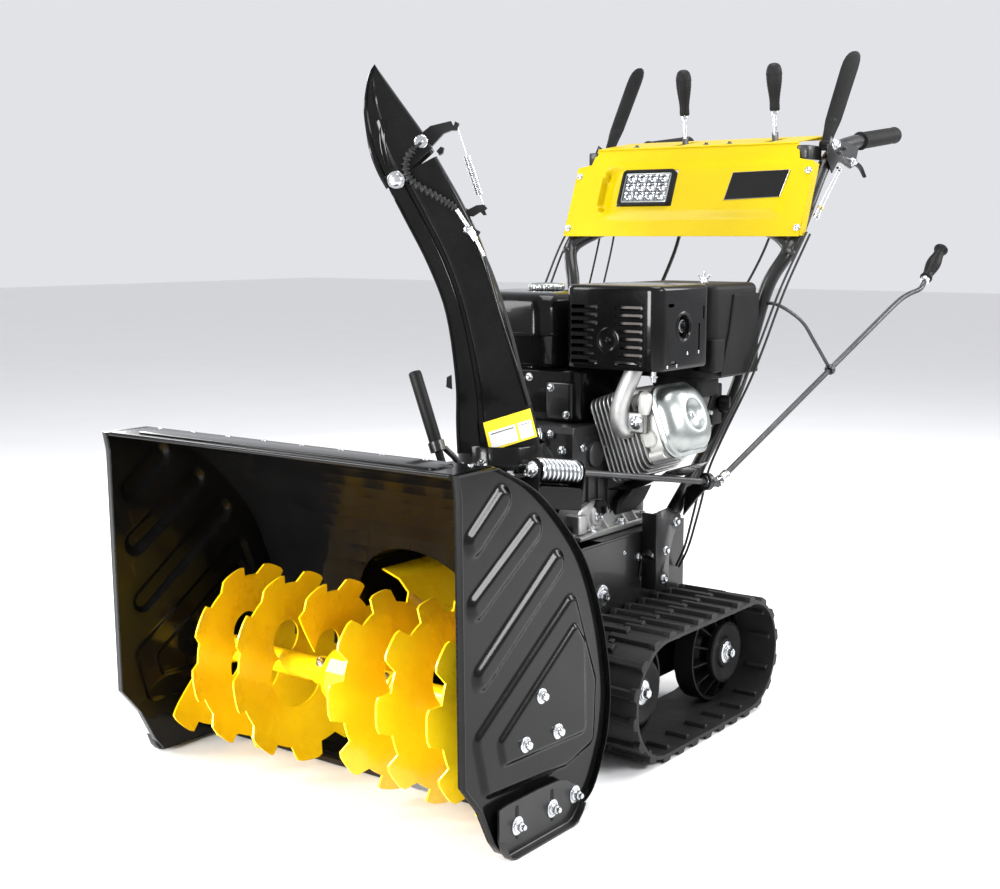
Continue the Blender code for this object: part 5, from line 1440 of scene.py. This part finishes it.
def make_crankcase():
    """Bolts, ribs, cover and mounting ears on the crankcase."""
    lo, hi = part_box("engine_crankcase")
    piece = Piece("crankcase_details", "chassis", slot="engine_grey")
    y = FRONT + 0.636
    cx, cz = 0.0, 0.43
    piece.add("engine", turned(Vector((cx, y, cz)), (0, -1, 0), ((-0.002, 0.1), (0.003, 0.098),
        (0.006, 0.094), (0.006, 0.06), (0.004, 0.056)), 48))
    for k in range(8):
        t = 2 * math.pi * (k + 0.5) / 8
        u = Vector((math.cos(t), 0, math.sin(t)))
        piece.add("engine", loft([[Vector((cx, y - h, cz)) + u * r + Vector((-u.z, 0, u.x)) * w for
            w, h in ((-0.003, 0.0), (0.003, 0.0), (0.0018, 0.006), (-0.0018, 0.006))] for r in
            (0.048, 0.096)]))
        b = Vector((cx, y - 0.005, cz)) + u * 0.089
        if b.z < hi.z - 0.01:
            piece.add("zinc", *bolt(b, (0, -1, 0), 0.006, 1.25, k))
    # ears along the foot flange and their bolts
    for x in (-0.118, 0.118):
        for d in (0.668, 0.842):
            piece.add("engine", turned(at(x, d, lo.z + 0.01), UP,
                ((0, 0.017), (0.01, 0.016), (0.012, 0.0145)), 28))
            piece.add("zinc", *bolt(at(x, d, lo.z + 0.022), UP, 0.009, 1.3))
    # side: vertical ribs, breather boss, oil plug and drain plug
    for d in (0.668, 0.7, 0.732):
        piece.add("engine", loft([[Vector((0.128, FRONT + d + w, z)) + Vector((x, 0, 0)) for x, w
            in ((0, -0.003), (0.007, -0.002), (0.007, 0.002), (0, 0.003))] for z in
            (0.362, 0.455)]))
    piece.add("engine", turned(at(0.128, 0.69, 0.49), (1, 0, 0),
        ((0, 0.024), (0.008, 0.023), (0.01, 0.02)), 32))
    piece.add("plastic", turned(at(0.134, 0.69, 0.392), (1, -0.3, 0.2), ((0, 0.013),
        (0.006, 0.015), (0.016, 0.0145), (0.018, 0.012)), 24))
    piece.add("plastic", soft_block(at(0.136, 0.684, 0.386), at(0.16, 0.69, 0.398), 0.0025, 0.002))
    piece.add("zinc", *bolt(at(0.13, 0.742, 0.375), (1, 0, 0), 0.0085, 1.3),
        *bolt(at(0.13, 0.655, 0.505), (1, 0, 0), 0.0062, 1.3),
        *bolt(at(0.13, 0.72, 0.5), (1, 0, 0), 0.0062, 1.3))
    # the aluminium base casting that stands out under the cylinder
    foot = [(0.612, 0.346), (0.612, 0.37), (0.63, 0.396), (0.664, 0.406), (0.7, 0.408),
        (0.716, 0.4), (0.728, 0.378), (0.79, 0.372), (0.848, 0.364), (0.852, 0.346)]
    piece.add("casting", extruded(foot, lambda p, q, h: at(0.096 + h, p, q), 0.046, 0.003))
    flange = [(0.606, 0.346), (0.606, 0.3535), (0.66, 0.3575), (0.86, 0.3575), (0.86, 0.346)]
    piece.add("casting", extruded(flange, lambda p, q, h: at(0.094 + h, p, q), 0.066, 0.002))
    piece.add("casting", soft_block(at(0.12, 0.612, 0.356), at(0.152, 0.64, 0.39), 0.006, 0.003))
    piece.add("casting", turned(at(0.136, 0.678, 0.38), (1, 0, 0),
        ((0, 0.019), (0.008, 0.018), (0.011, 0.015)), 28))
    piece.add("zinc", *bolt(at(0.146, 0.678, 0.38), (1, 0, 0), 0.0085, 1.2))
    for d in (0.655, 0.752, 0.828):
        piece.add("zinc", *bolt(at(0.15, d, 0.3575), UP, 0.0085, 1.25))
    for d in (0.7, 0.765, 0.8):
        piece.add("casting", loft([[at(x, d + w, z) for x, z in ((0.14, 0.357), (0.157, 0.357),
            (0.1415, 0.376))] for w in (-0.0022, 0.0022)]))
    # dark air duct that sweeps down behind the base
    duct = [(0.742, 0.372), (0.752, 0.398), (0.79, 0.42), (0.842, 0.44), (0.88, 0.44),
        (0.868, 0.412), (0.838, 0.384), (0.812, 0.372)]
    piece.add("plastic", extruded(duct, lambda p, q, h: at(0.1 + h, p, q), 0.05, 0.006))
    # governor arm, sender and bracket bits on the crankcase front
    piece.add("zinc", tube(spline([at(0.052, 0.63, 0.536), at(0.058, 0.626, 0.52),
        at(0.05, 0.624, 0.5)], 5), 0.0042, 12))
    piece.add("zinc", *bolt(at(0.1, 0.632, 0.5), (0, -1, 0), 0.007, 1.3),
        *bolt(at(0.075, 0.632, 0.528), (0, -1, 0), 0.006, 1.2), *bolt(at(-0.03, 0.632, 0.528),
        (0, -1, 0), 0.006, 1.2), *bolt(at(0.118, 0.632, 0.455), (0, -1, 0), 0.007, 1.3))
    piece.done(0.0006)

    # fan housing at the back, with its plain rewind cover and slots
    lo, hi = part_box("fan_shroud")
    centre = Vector((0, lo.y, 0.476))
    piece = Piece("fan_housing", "chassis", ["fan_shroud"], 40)
    piece.add("plastic", turned(centre, (0, 1, 0), ((0.0, 0.118), (0.002, 0.1235), (0.006, 0.125),
        (0.036, 0.125), (0.044, 0.122), (0.052, 0.113), (0.057, 0.103), (0.0595, 0.096),
        (0.061, 0.09), (0.06, 0.086), (0.06, 0.05), (0.064, 0.046), (0.0665, 0.04), (0.0665, 0.0)),
        72))
    for k in range(22):
        t = 2 * math.pi * k / 22
        u, v = Vector((math.cos(t), 0, math.sin(t))), Vector((-math.sin(t), 0, math.cos(t)))
        loops = []
        for r, w in ((0.053, 0.0022), (0.07, 0.003), (0.084, 0.0034)):
            p = centre + u * r
            loops.append([p + v * (-w) + Vector((0, 0.0585, 0)), p + v * w +
                Vector((0, 0.0585, 0)), p + v * w * 0.7 + Vector((0, 0.065, 0)), p - v * w * 0.7 +
                Vector((0, 0.065, 0))])
        piece.add("plastic", loft(loops))
    # the sheet cowl that carries the cooling air forward under the tank
    piece.add("gloss_black", soft_block(at(-0.125, 0.7, 0.5385), at(0.092, 0.886, 0.6385), 0.022,
        0.008))
    piece.add("satin_black", soft_block(at(0.02, 0.692, 0.545), at(0.08, 0.704, 0.615), 0.008,
        0.004))
    for x, z in ((0.034, 0.604), (0.068, 0.556), (-0.02, 0.62), (-0.105, 0.56)):
        piece.add("zinc", *bolt(at(x, 0.6925 if x > 0 else 0.7005, z), (0, -1, 0), 0.006, 1.3))
    for k in range(4):
        t = math.pi / 4 + math.pi / 2 * k
        piece.add("zinc", *bolt(centre + Vector((0.111 * math.cos(t), 0.0525, 0.111 *
            math.sin(t))), (0, 1, 0), 0.0055, 1.2))
    piece.done()


def make_chassis_details():
    """Bolts and washers on the frame box, its folded top edge and the belt cover's screws."""
    _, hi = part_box("frame_box")
    piece = Piece("frame_bolts", "chassis", slot="bright_steel")
    for sign in (1, -1):
        x = sign * hi.x
        way = (sign, 0, 0)
        big = Vector((x, FRONT + 0.628, 0.25))
        piece.add("zinc", turned(big, way, ((-0.0005, 0.02), (0.0018, 0.02), (0.0026, 0.0185),
            (0.0026, 0.012)), 36), *bolt(big + Vector((sign * 0.002, 0, 0)), way, 0.0105))
        for d, z, size in ((0.751, 0.2985, 0.0072), (0.7, 0.315, 0.003), (0.56, 0.3, 0.006),
                (0.47, 0.25, 0.006), (0.64, 0.14, 0.0075), (0.5, 0.13, 0.0075)):
            piece.add("zinc", *bolt(Vector((x, FRONT + d, z)), way, size, 1.3))
        fold = [at(sign * (abs(hi.x) + 0.0016), d, z) for d, z in ((0.392, 0.3), (0.392, 0.316),
            (0.56, 0.3455), (0.745, 0.3455))]
        piece.add("satin_black", tube(fold, 0.0022, 10))
    for k in range(6):
        t = math.radians(-160 + 64 * k)
        piece.add("zinc", *bolt(Vector((0.098 * math.cos(t), FRONT + 0.5565, 0.21 + 0.098 *
            math.sin(t))) if math.sin(t) < 0.5 else at(0.04 * math.cos(t), 0.5565, 0.47),
            (0, -1, 0), 0.0045, 1.3))
    for x in (-0.15, -0.05, 0.05, 0.15):
        piece.add("zinc", *bolt(at(x, 0.915, 0.315), (0, 1, 0), 0.006, 1.3))
    piece.done()


def make_engine():
    make_muffler()
    make_cylinder()
    make_intake()
    make_tank()
    make_crankcase()
    make_chassis_details()


# ---------------------------------------------------------------- handles and panel

HANDLE = ((0.2058, 0.758, 0.2955), (0.2058, 0.8, 0.335), (0.2058, 0.94, 0.445),
    (0.206, 1.075, 0.565), (0.213, 1.135, 0.68), (0.232, 1.16, 0.78), (0.257, 1.187, 0.84),
    (0.262, 1.227, 0.885), (0.262, 1.33, 1.01), (0.262, 1.4, 1.055), (0.262, 1.47, 1.072),
    (0.262, 1.515, 1.0775),)
CROSSBAR = ((0.258, 1.19, 0.843), (0.247, 1.203, 0.862), (0.205, 1.222, 0.885),
    (0.13, 1.226, 0.902), (0.0, 1.226, 0.905))
LEVER_PLATE = ((1.318, 1.03), (1.315, 1.058), (1.33, 1.078), (1.348, 1.07), (1.42, 1.068),
    (1.47, 1.06), (1.452, 1.022), (1.43, 1.016), (1.37, 1.03), (1.34, 1.004),)
EYE_PATH = ((0.2255, 1.153, 0.745), (0.262, 1.146, 0.743), (0.3, 1.172, 0.712),
    (0.3155, 1.2015, 0.67), (0.3265, 1.242, 0.6225))
SLOPE_FOOT = (1.192, 0.877)
SLOPE = Vector((1.268 - 1.192, 1.064 - 0.877)).normalized()
PANEL_TOP = 0.2019


def on_slope(x, t, out=0.0):
    """A point on the panel's sloping front: across, up the slope and out of it."""
    return at(x, SLOPE_FOOT[0] + SLOPE.x * t - SLOPE.y * out, SLOPE_FOOT[1] + SLOPE.y * t + SLOPE.x
        * out)


def slope_piece(outline, low, high, edge=0.0006):
    return extruded(outline, lambda a, b, h: on_slope(a, b, low + h), high - low, edge)


def make_handle_tubes():
    piece = Piece("handle_tubes", "chassis", ["handlebar"], 50)
    left = spline([at(*p) for p in HANDLE], 8)
    half = [at(*p) for p in CROSSBAR]
    over = spline(half + [Vector((-p.x, p.y, p.z)) for p in half[-2::-1]], 8)
    for path in (left, [Vector((-p.x, p.y, p.z)) for p in left]):
        piece.add("satin_black", tube(path, 0.014, 28))
    piece.add("satin_black", tube(over, [0.0125] * len(over), 22))
    for sign in (1, -1):
        flip = sided(sign)
        inner = ((0.745, 0.262), (0.8, 0.262), (0.835, 0.338), (0.835, 0.372), (0.782, 0.372))
        outer = ((0.757, 0.378), (0.764, 0.384), (0.8, 0.386), (0.846, 0.366), (0.846, 0.356),
            (0.82, 0.33), (0.806, 0.3), (0.804, 0.242), (0.798, 0.236), (0.764, 0.236),
            (0.758, 0.242))
        for shape, near, thick in ((inner, 0.1905, 0.004), (outer, 0.2195, 0.003)):
            piece.add("satin_black", flip(extruded(shape, lambda a, b, h, near=near:
                at(near + h, a, b), thick, 0.0008)))
        piece.add("satin_black", flip(extruded([(0.757, 0.24), (0.7605, 0.24), (0.7605, 0.38),
            (0.757, 0.38)], lambda a, b, h: at(0.192 + h, a, b), 0.03, 0.0006)))
        piece.add("satin_black", flip(extruded(LEVER_PLATE, lambda a, b, h: at(0.2772 + h, a, b),
            0.0036, 0.0008)), flip(rod(at(0.25, 1.365, 1.036), at(0.279, 1.365, 1.036), 0.006)))
        # clamp saddle under the grip end, and the bolts on the lever plate
        piece.add("plastic", flip(soft_block(at(0.2435, 1.4, 1.03), at(0.2765, 1.462, 1.062),
            0.006, 0.004)))
        for d, z, size in ((1.345, 1.062, 0.01), (1.438, 1.03, 0.0082)):
            shapes = [flip(s) for s in bolt(at(0.2812, d, z), (1, 0, 0), size, 1.15)]
            piece.add("zinc", *shapes)
        for d, z in ((1.372, 1.046), (1.398, 1.056)):
            piece.add("dark_steel", *[flip(s) for s in
                bolt(at(0.2812, d, z), (1, 0, 0), 0.0045, 1.1)])
        for d, z in ((0.784, 0.256), (0.79, 0.308), (0.826, 0.356)):
            piece.add("zinc", *[flip(s) for s in bolt(at(0.2224, d, z), (1, 0, 0), 0.0068, 1.25)])
        # where the crossbar is welded on
        piece.add("satin_black", flip(turned(half[0] + Vector((0.004, -0.004, -0.004)), half[1] -
            half[0], ((-0.004, 0.015), (0.002, 0.0158), (0.006, 0.0145), (0.008, 0.0128)), 24)))
    # the rod guide: an eye bolt through the left tube
    piece.add("dark_steel", tube(spline([at(*p) for p in EYE_PATH], 6), 0.0036, 12))
    eye = at(0.329, 1.25, 0.612)
    way = Vector(JOINTS["crank_spin"]["axis"]).normalized()
    piece.add("dark_steel", turned(eye, way, ((-0.0045, 0.007), (-0.0055, 0.0085),
        (-0.0045, 0.0102), (0.0, 0.0115), (0.0045, 0.0102), (0.0055, 0.0085), (0.0045, 0.007)), 28,
        ring=True))
    piece.done()

    def grip(side, sign):
        start, end = at(*HANDLE[-1]), at(0.262, 1.71, 1.1005)
        way = (end - start).normalized()
        length = (end - start).length
        profile = [(0.0005, 0.016), (0.0015, 0.0188), (0.005, 0.0198), (0.009, 0.0192),
            (0.012, 0.0172), (0.018, 0.017)]
        for i in range(30):
            t = 0.02 + (length - 0.056) * i / 29
            profile.append((t, 0.0173 + (0.0007 if i % 2 else -0.0002)))
        profile += [(length - 0.03, 0.0172), (length - 0.012, 0.0178), (length - 0.005, 0.0186),
            (length - 0.002, 0.0176), (length - 0.0005, 0.015), (length - 0.0005, 0.0)]
        shape = turned(start, way, profile, 32)
        piece = Piece(f"hand_grip_{side}", "chassis", [f"grip_{side}"], 60)
        piece.add("grip", sided(sign)(shape)).done()

    both_sides(grip)


def make_hand_levers():
    up = Vector((0, 0.124, 0.19)).normalized()
    normal = Vector((0, -up.z, up.y))

    def paddle(side, sign):
        base = at(0.262, 1.345, 1.062)
        loops = []
        for s, half, thick, crown in ((-0.012, 0.0085, 0.007, 0), (-0.006, 0.0105, 0.0085, 0),
                (0.01, 0.0112, 0.009, 0), (0.024, 0.0124, 0.0082, 0), (0.036, 0.014, 0.007, 0),
                (0.05, 0.0165, 0.0046, 0.001), (0.062, 0.018, 0.0034, 0.002),
                (0.1, 0.0188, 0.003, 0.0028), (0.15, 0.0194, 0.003, 0.003),
                (0.192, 0.02, 0.003, 0.0026), (0.212, 0.019, 0.003, 0.002),
                (0.224, 0.0162, 0.003, 0.0014), (0.232, 0.0115, 0.0028, 0.0006),
                (0.236, 0.0055, 0.0022, 0)):
            c = base + up * s
            ring = []
            for i in range(24):
                t = 2 * math.pi * i / 24
                x = half * math.copysign(abs(math.cos(t)) ** 0.6, math.cos(t))
                n = thick * math.copysign(abs(math.sin(t)) ** 0.6, math.sin(t))
                n += crown * (1 - (x / half) ** 2)
                ring.append(c + Vector((x, 0, 0)) + normal * n * 0.62)
            loops.append(ring)
        shapes = [loft(loops), rod(at(0.2505, 1.345, 1.062), at(0.2768, 1.345, 1.062), 0.0085, 24),
            turned(base + up * 0.055 + normal * 0.0024, normal, ((-0.002, 0.0105),
            (0.0004, 0.0104), (0.0009, 0.0096)), 28)]
        piece = Piece(f"clutch_paddle_{side}", f"clutch_lever_{side}", [f"clutch_lever_{side}"],
            50)
        for s in shapes:
            piece.add("plastic", s if sign == 1 else mirrored(s))
        piece.done()

    both_sides(paddle)

    def trigger(side, sign):
        path = spline([at(0.2705, 1.438, 1.03), at(0.2695, 1.458, 1.0315), at(0.268, 1.48, 1.03),
            at(0.264, 1.52, 1.022), at(0.262, 1.549, 1.004)], 7)
        radii = [0.0066 - 0.0022 * smoothstep((i / (len(path) - 1) - 0.55) / 0.45) for i in
            range(len(path))]
        shapes = [tube(path, [float(r) for r in radii], 18, 0.7), rod(at(0.2655, 1.438, 1.03),
            at(0.2765, 1.438, 1.03), 0.0088, 24)]
        piece = Piece(f"steer_trigger_{side}", f"trigger_{side}", [f"trigger_{side}"], 50)
        for s in shapes:
            piece.add("plastic", s if sign == 1 else mirrored(s))
        piece.done()

    both_sides(trigger)

    for name, x in (("speed_lever", -0.054), ("deflector_lever", 0.158)):
        base, tip = at(x, 1.335, 0.985), at(x, 1.322, 1.115)
        way = (tip - base).normalized()
        piece = Piece(name + "_parts", name, [name], 50)
        piece.add("satin_black", turned(base, way, ((-0.014, 0.0035), (-0.0125, 0.0055),
            (-0.006, 0.0078), (0.006, 0.0078), (0.014, 0.005)), 20))
        blade = [base + way * s for s in (0.01, 0.06, 0.105)]
        piece.add("dark_steel", loft([[p + Vector((a, b, 0)) for a, b in
            rounded(-0.007, 0.007, -0.0022, 0.0022, 0.0015, 2)] for p in blade]))
        piece.add("zinc", turned(base, way, ((0.1, 0.0), (0.1, 0.0042), (0.15, 0.0042)), 20),
            turned(base, way, ((0.14, 0.0064), (0.144, 0.0068), (0.148, 0.0064)), 6))
        u, v, _ = frame_on(way)
        rows = [(0.1485, 0.0098), (0.1495, 0.0112), (0.1515, 0.0118), (0.16, 0.0116)]
        for i in range(19):
            k = i / 18
            rows.append((0.162 + 0.058 * k, 0.0118 + 0.007 * float(smoothstep(k * 1.05)) -
                (0.0007 if i % 2 else 0)))
        rows += [(0.223, 0.0192), (0.231, 0.0186), (0.2385, 0.0158), (0.243, 0.0108),
            (0.2448, 0.005)]
        loops = []
        for s, r in rows:
            ring = []
            for i in range(48):
                t = 2 * math.pi * i / 48
                flat = 0.0006 * math.cos(12 * t) if 0.15 < s < 0.225 else 0
                ring.append(base + way * s + (r + flat) *
                    (math.cos(t) * u + 0.8 * math.sin(t) * v))
            loops.append(ring)
        piece.add("grip", loft(loops))
        piece.done()


def panel_height(x, t):
    """How far the panel's pressed field stands out, with the crescent fold left of the lamp."""
    inside = polygon_distance((x, t), [(-0.176, 0.05), (-0.176, 0.156), (0.222, 0.156),
        (0.222, 0.05)])
    lift = 0.003 * raised(inside, 0.004, 0.024)
    ring = math.hypot((x + 0.118) / 0.9, (t - 0.104) * 0.92)
    fold = float(smoothstep((0.104 - ring) / 0.004)) * float(smoothstep((ring - 0.05) / 0.048))
    fold *= float(smoothstep((-0.15 - x) / 0.016 + 0.5))
    return lift - 0.015 * fold * float(smoothstep((0.15 - abs(t - 0.104) * 2.6) / 0.05))


def make_panel():
    piece = Piece("panel_sheet", "chassis", ["control_panel"], 32)
    low_half = lambda t: 0.279 + 0.003 * t / 0.1605
    cols = sorted({round(v, 5) for v in list(np.linspace(-1, -0.6, 22)) +
        list(np.linspace(-0.6, 0.66, 40)) + list(np.linspace(0.66, 1, 20))})
    rows = [PANEL_TOP * k / 64 for k in range(65)]
    window = (-0.156, -0.027, 0.066, 0.149)
    points, faces, index = [], [], {}

    def edge(t):
        if t <= 0.1605:
            return low_half(t)
        if t <= 0.166:
            return 0.282 - 0.034 * (t - 0.1605) / 0.0055
        return 0.248 - 0.009 * (t - 0.166) / (PANEL_TOP - 0.166)

    for back in (0, 1):
        for j, t in enumerate(rows):
            for i, c in enumerate(cols):
                x = c * edge(t)
                index[back, i, j] = len(points)
                points.append(on_slope(x, t, panel_height(x, t) - 0.0018 * back))
    nu, nv = len(cols), len(rows)
    solid = {}
    for j in range(nv - 1):
        for i in range(nu - 1):
            x = (cols[i] + cols[i + 1]) / 2 * edge((rows[j] + rows[j + 1]) / 2)
            t = (rows[j] + rows[j + 1]) / 2
            solid[i, j] = not (window[0] < x < window[1] and window[2] < t < window[3])
    for (i, j), keep in solid.items():
        if not keep:
            continue
        quad = [(i, j), (i + 1, j), (i + 1, j + 1), (i, j + 1)]
        faces.append(tuple(index[(0, *q)] for q in quad))
        faces.append(tuple(index[(1, *q)] for q in reversed(quad)))
        for (a, b), near in (((quad[0], quad[1]), (i, j - 1)), ((quad[1], quad[2]), (i + 1, j)),
                ((quad[2], quad[3]), (i, j + 1)), ((quad[3], quad[0]), (i - 1, j))):
            if not solid.get(near, False):
                faces.append((index[(0, *b)], index[(0, *a)], index[(1, *a)], index[(1, *b)]))
    piece.add("panel_yellow", (points, faces))
    # top shelf with its folded front edge, broken at the two lever slots, and side flanges
    fold = [(1.2655, 1.0625), (1.2675, 1.065), (1.2715, 1.066), (1.4, 1.0845), (1.402, 1.0835),
        (1.402, 1.0745), (1.4005, 1.0745), (1.4005, 1.0825), (1.272, 1.064), (1.2695, 1.0625)]
    slots = [(-0.065, -0.043), (0.147, 0.169)]
    stops = [-0.2385, -0.065, -0.043, 0.147, 0.169, 0.2385]
    for a, b in zip(stops, stops[1:]):
        if (a, b) in slots:
            for part in (fold[:3] + [(1.285, 1.0678), (1.285, 1.066), (1.272, 1.064),
                    (1.2695, 1.0625)], [(1.375, 1.0807), (1.4, 1.0845), (1.402, 1.0835),
                    (1.402, 1.0745), (1.4005, 1.0745), (1.4005, 1.0825), (1.375, 1.0789)]):
                piece.add("panel_yellow", loft([[at(x, d, z) for d, z in part] for x in (a, b)]))
        else:
            piece.add("panel_yellow", loft([[at(x, d, z) for d, z in fold] for x in (a, b)]))
    for sign in (1, -1):
        flange = [(1.193, 0.878), (1.252, 1.024), (1.275, 1.02), (1.217, 0.878)]
        piece.add("panel_yellow", extruded(flange, lambda a, b, h, s=sign:
            at(s * (0.2798 + h), a, b), 0.0018, 0.0005))
    for x, t in ((0.272, 0.14), (0.272, 0.018), (-0.272, 0.14), (-0.272, 0.018)):
        piece.add("zinc", *bolt(on_slope(x, t, 0.0005), on_slope(0, 0, 1) - on_slope(0, 0, 0),
            0.0062, 1.2))
    for x in (0.02, 0.075, -0.15):
        piece.add("dark_steel", *bolt(at(x, 1.284, 1.0668), UP, 0.005, 1.5))
    # dark corner gusset behind the stepped corners
    for sign in (1, -1):
        piece.add("satin_black", soft_block(Vector((min(sign * 0.236, sign * 0.262), FRONT + 1.262,
            1.03)), Vector((max(sign * 0.236, sign * 0.262), FRONT + 1.33, 1.058)), 0.005, 0.003))
    badge = [(0.099, 0.078), (0.222, 0.083), (0.233, 0.141), (0.107, 0.138)]
    piece.add("label_black", slope_piece(badge, 0.0026, 0.0038, 0.0002))
    piece.add("chrome", tube([on_slope(a, b, 0.0036) for a, b in badge + badge[:1]], 0.0007, 6))
    piece.done()

    # the work lamp: bezel and a tray of twelve bright cups, each with its light source
    piece = Piece("lamp_housing", "chassis", ["headlight"], 40)
    x0, x1, t0, t1 = -0.1555, -0.0275, 0.0665, 0.1485
    ring = lambda inset, r: rounded(x0 + inset, x1 - inset, t0 + inset, t1 - inset, r, 5)
    rows = ((0.0, 0.009, -0.004), (0.0, 0.009, 0.0085), (0.0008, 0.0085, 0.01),
        (0.003, 0.0075, 0.0108), (0.006, 0.006, 0.0104), (0.0072, 0.005, 0.008),
        (0.0078, 0.0045, 0.002), (0.0078, 0.0045, -0.004))
    piece.add("plastic", loft([[on_slope(a, b, h) for a, b in ring(i, r)] for i, r, h in rows],
        ring=True))
    piece.add("plastic", loft([[on_slope(a, b, h) for a, b in
        rounded(x0 + i, x1 - i, t0 + i, t1 - i, 0.006, 4)] for i, h in ((0.004, -0.0055),
        (0.0035, -0.022), (0.01, -0.029))]))
    piece.add("chrome", loft([[on_slope(a, b, h) for a, b in ring(i, r)] for i, r, h in
        ((0.0074, 0.005, 0.003), (0.0074, 0.005, 0.0078), (0.009, 0.004, 0.0086),
        (0.0108, 0.003, 0.0078), (0.0112, 0.003, 0.003))], ring=True))
    w, h = (x1 - x0 - 0.024) / 4, (t1 - t0 - 0.022) / 3
    for j in range(3):
        for i in range(4):
            cx, ct = x0 + 0.012 + w * (i + 0.5), t0 + 0.011 + h * (j + 0.5)
            loops = []
            for k, (rr, depth) in enumerate(((1.0, 0.0062), (0.88, 0.0058), (0.82, 0.004),
                    (0.66, 0.0012), (0.4, -0.0008), (0.24, -0.0014))):
                if k == 0:
                    outline = rounded(cx - w * 0.47, cx + w * 0.47, ct - h * 0.46, ct + h * 0.46,
                        0.0016, 6)
                else:
                    outline = rounded(cx - w / 2 * rr, cx + w / 2 * rr, ct - h / 2 * rr, ct + h / 2
                        * rr, min(w, h) / 2 * rr * 0.98, 6)
                loops.append([on_slope(a, b, depth) for a, b in outline])
            loops.append([on_slope(a, b, -0.0035) for a, b in rounded(cx - w * 0.47, cx + w * 0.47,
                ct - h * 0.46, ct + h * 0.46, 0.0016, 6)])
            piece.add("reflector", loft(loops, ring=True))
            up = on_slope(0, 0, 1) - on_slope(0, 0, 0)
            piece.add("label_white", turned(on_slope(cx, ct, -0.0012), up, ((0.0, 0.0036),
                (0.0012, 0.0034), (0.0024, 0.0022), (0.0028, 0.0)), 16))
    piece.done()

def make_cables():
    """Control cables: steel ends, adjusters and black conduits down to the frame."""
    def pair_of(side, sign):
        flip = sided(sign)
        node = [at(0.279, 1.372, 1.015), at(0.2845, 1.29, 0.952), at(0.2855, 1.2, 0.87),
            at(0.278, 1.12, 0.775), at(0.273, 1.045, 0.67), at(0.269, 0.995, 0.605),
            at(0.24, 0.945, 0.5), at(0.2262, 0.92, 0.44), at(0.2255, 0.9, 0.39),
            at(0.2235, 0.885, 0.35), at(0.215, 0.875, 0.3), at(0.197, 0.876, 0.26)]
        path = spline(node, 6)
        piece = Piece(f"cables_{side}", "chassis", [f"control_cable_{side}"], 50)
        second = [p + Vector((0.0, 0.01 + 0.012 * math.sin(math.pi * i / (len(path) - 1)), -0.004))
            for i, p in enumerate(path)]
        for way in (path, second):
            start = way[0]
            cut_at = 9
            piece.add("zinc", flip(tube(way[:cut_at + 1], 0.001, 8)))
            a, b = way[cut_at - 2], way[cut_at + 3]
            along = (b - a).normalized()
            piece.add("zinc", flip(tube([a, a + along * 0.03], 0.0019, 12)),
                flip(tube([a + along * 0.03, a + along * 0.036], 0.0036, 6)))
            piece.add("brass", flip(tube([a + along * 0.004, a + along * 0.01], 0.0034, 6)))
            piece.add("rubber", flip(tube(way[cut_at + 2:], 0.0023, 12)))
            piece.add("zinc", flip(rod(start + Vector((-0.004, 0, 0)), start +
                Vector((0.004, 0, 0)), 0.0032, 14)))
        piece.done()

    both_sides(pair_of)

    # rods and cables that run down behind the engine from the two gear levers
    piece = Piece("shift_linkage", "chassis", slot="black_rubber")
    piece.add("satin_black", tube(spline([at(-0.054, 1.335, 0.968), at(-0.05, 1.29, 0.86),
        at(-0.046, 1.19, 0.74), at(-0.04, 1.04, 0.56), at(-0.03, 0.935, 0.4),
        at(-0.03, 0.905, 0.33)], 8), 0.004, 12))
    piece.add("rubber", tube(spline([at(0.158, 1.335, 0.968), at(0.163, 1.318, 0.9),
        at(0.152, 1.25, 0.8), at(0.12, 1.13, 0.66), at(0.075, 1.01, 0.5), at(0.06, 0.93, 0.38),
        at(0.06, 0.905, 0.33)], 8), 0.0026, 12))
    for x, bend in ((-0.215, 0.01), (-0.185, 0.004)):
        piece.add("rubber", tube(spline([at(x, 1.275, 1.045), at(x - bend, 1.262, 0.9),
            at(x - bend, 1.2, 0.74), at(x + 0.01, 1.08, 0.54), at(x + 0.04, 0.96, 0.38),
            at(-0.15, 0.912, 0.33)], 8), 0.0022, 10))
    piece.done()


def make_handles():
    make_handle_tubes()
    make_hand_levers()
    make_panel()
    make_cables()


make_stage()
for subpart in RECORD["subparts"]:
    retouch({"black_paint": "gloss_black", "frame_black": "satin_black", "auger_yellow":
        "auger_yellow", "panel_yellow": "panel_yellow", "black_plastic": "plastic", "black_rubber":
        "rubber", "engine_grey": "engine", "cast_aluminium": "casting", "bright_steel": "zinc",
        "chrome": "chrome", "dark_steel": "dark_steel", "lamp":
        "reflector"}[subpart["material_slot"]], subpart["node"])
make_bucket()
make_tracks()
make_chute()
make_chute_base()
make_tool()
make_crank()
make_engine()
make_handles()
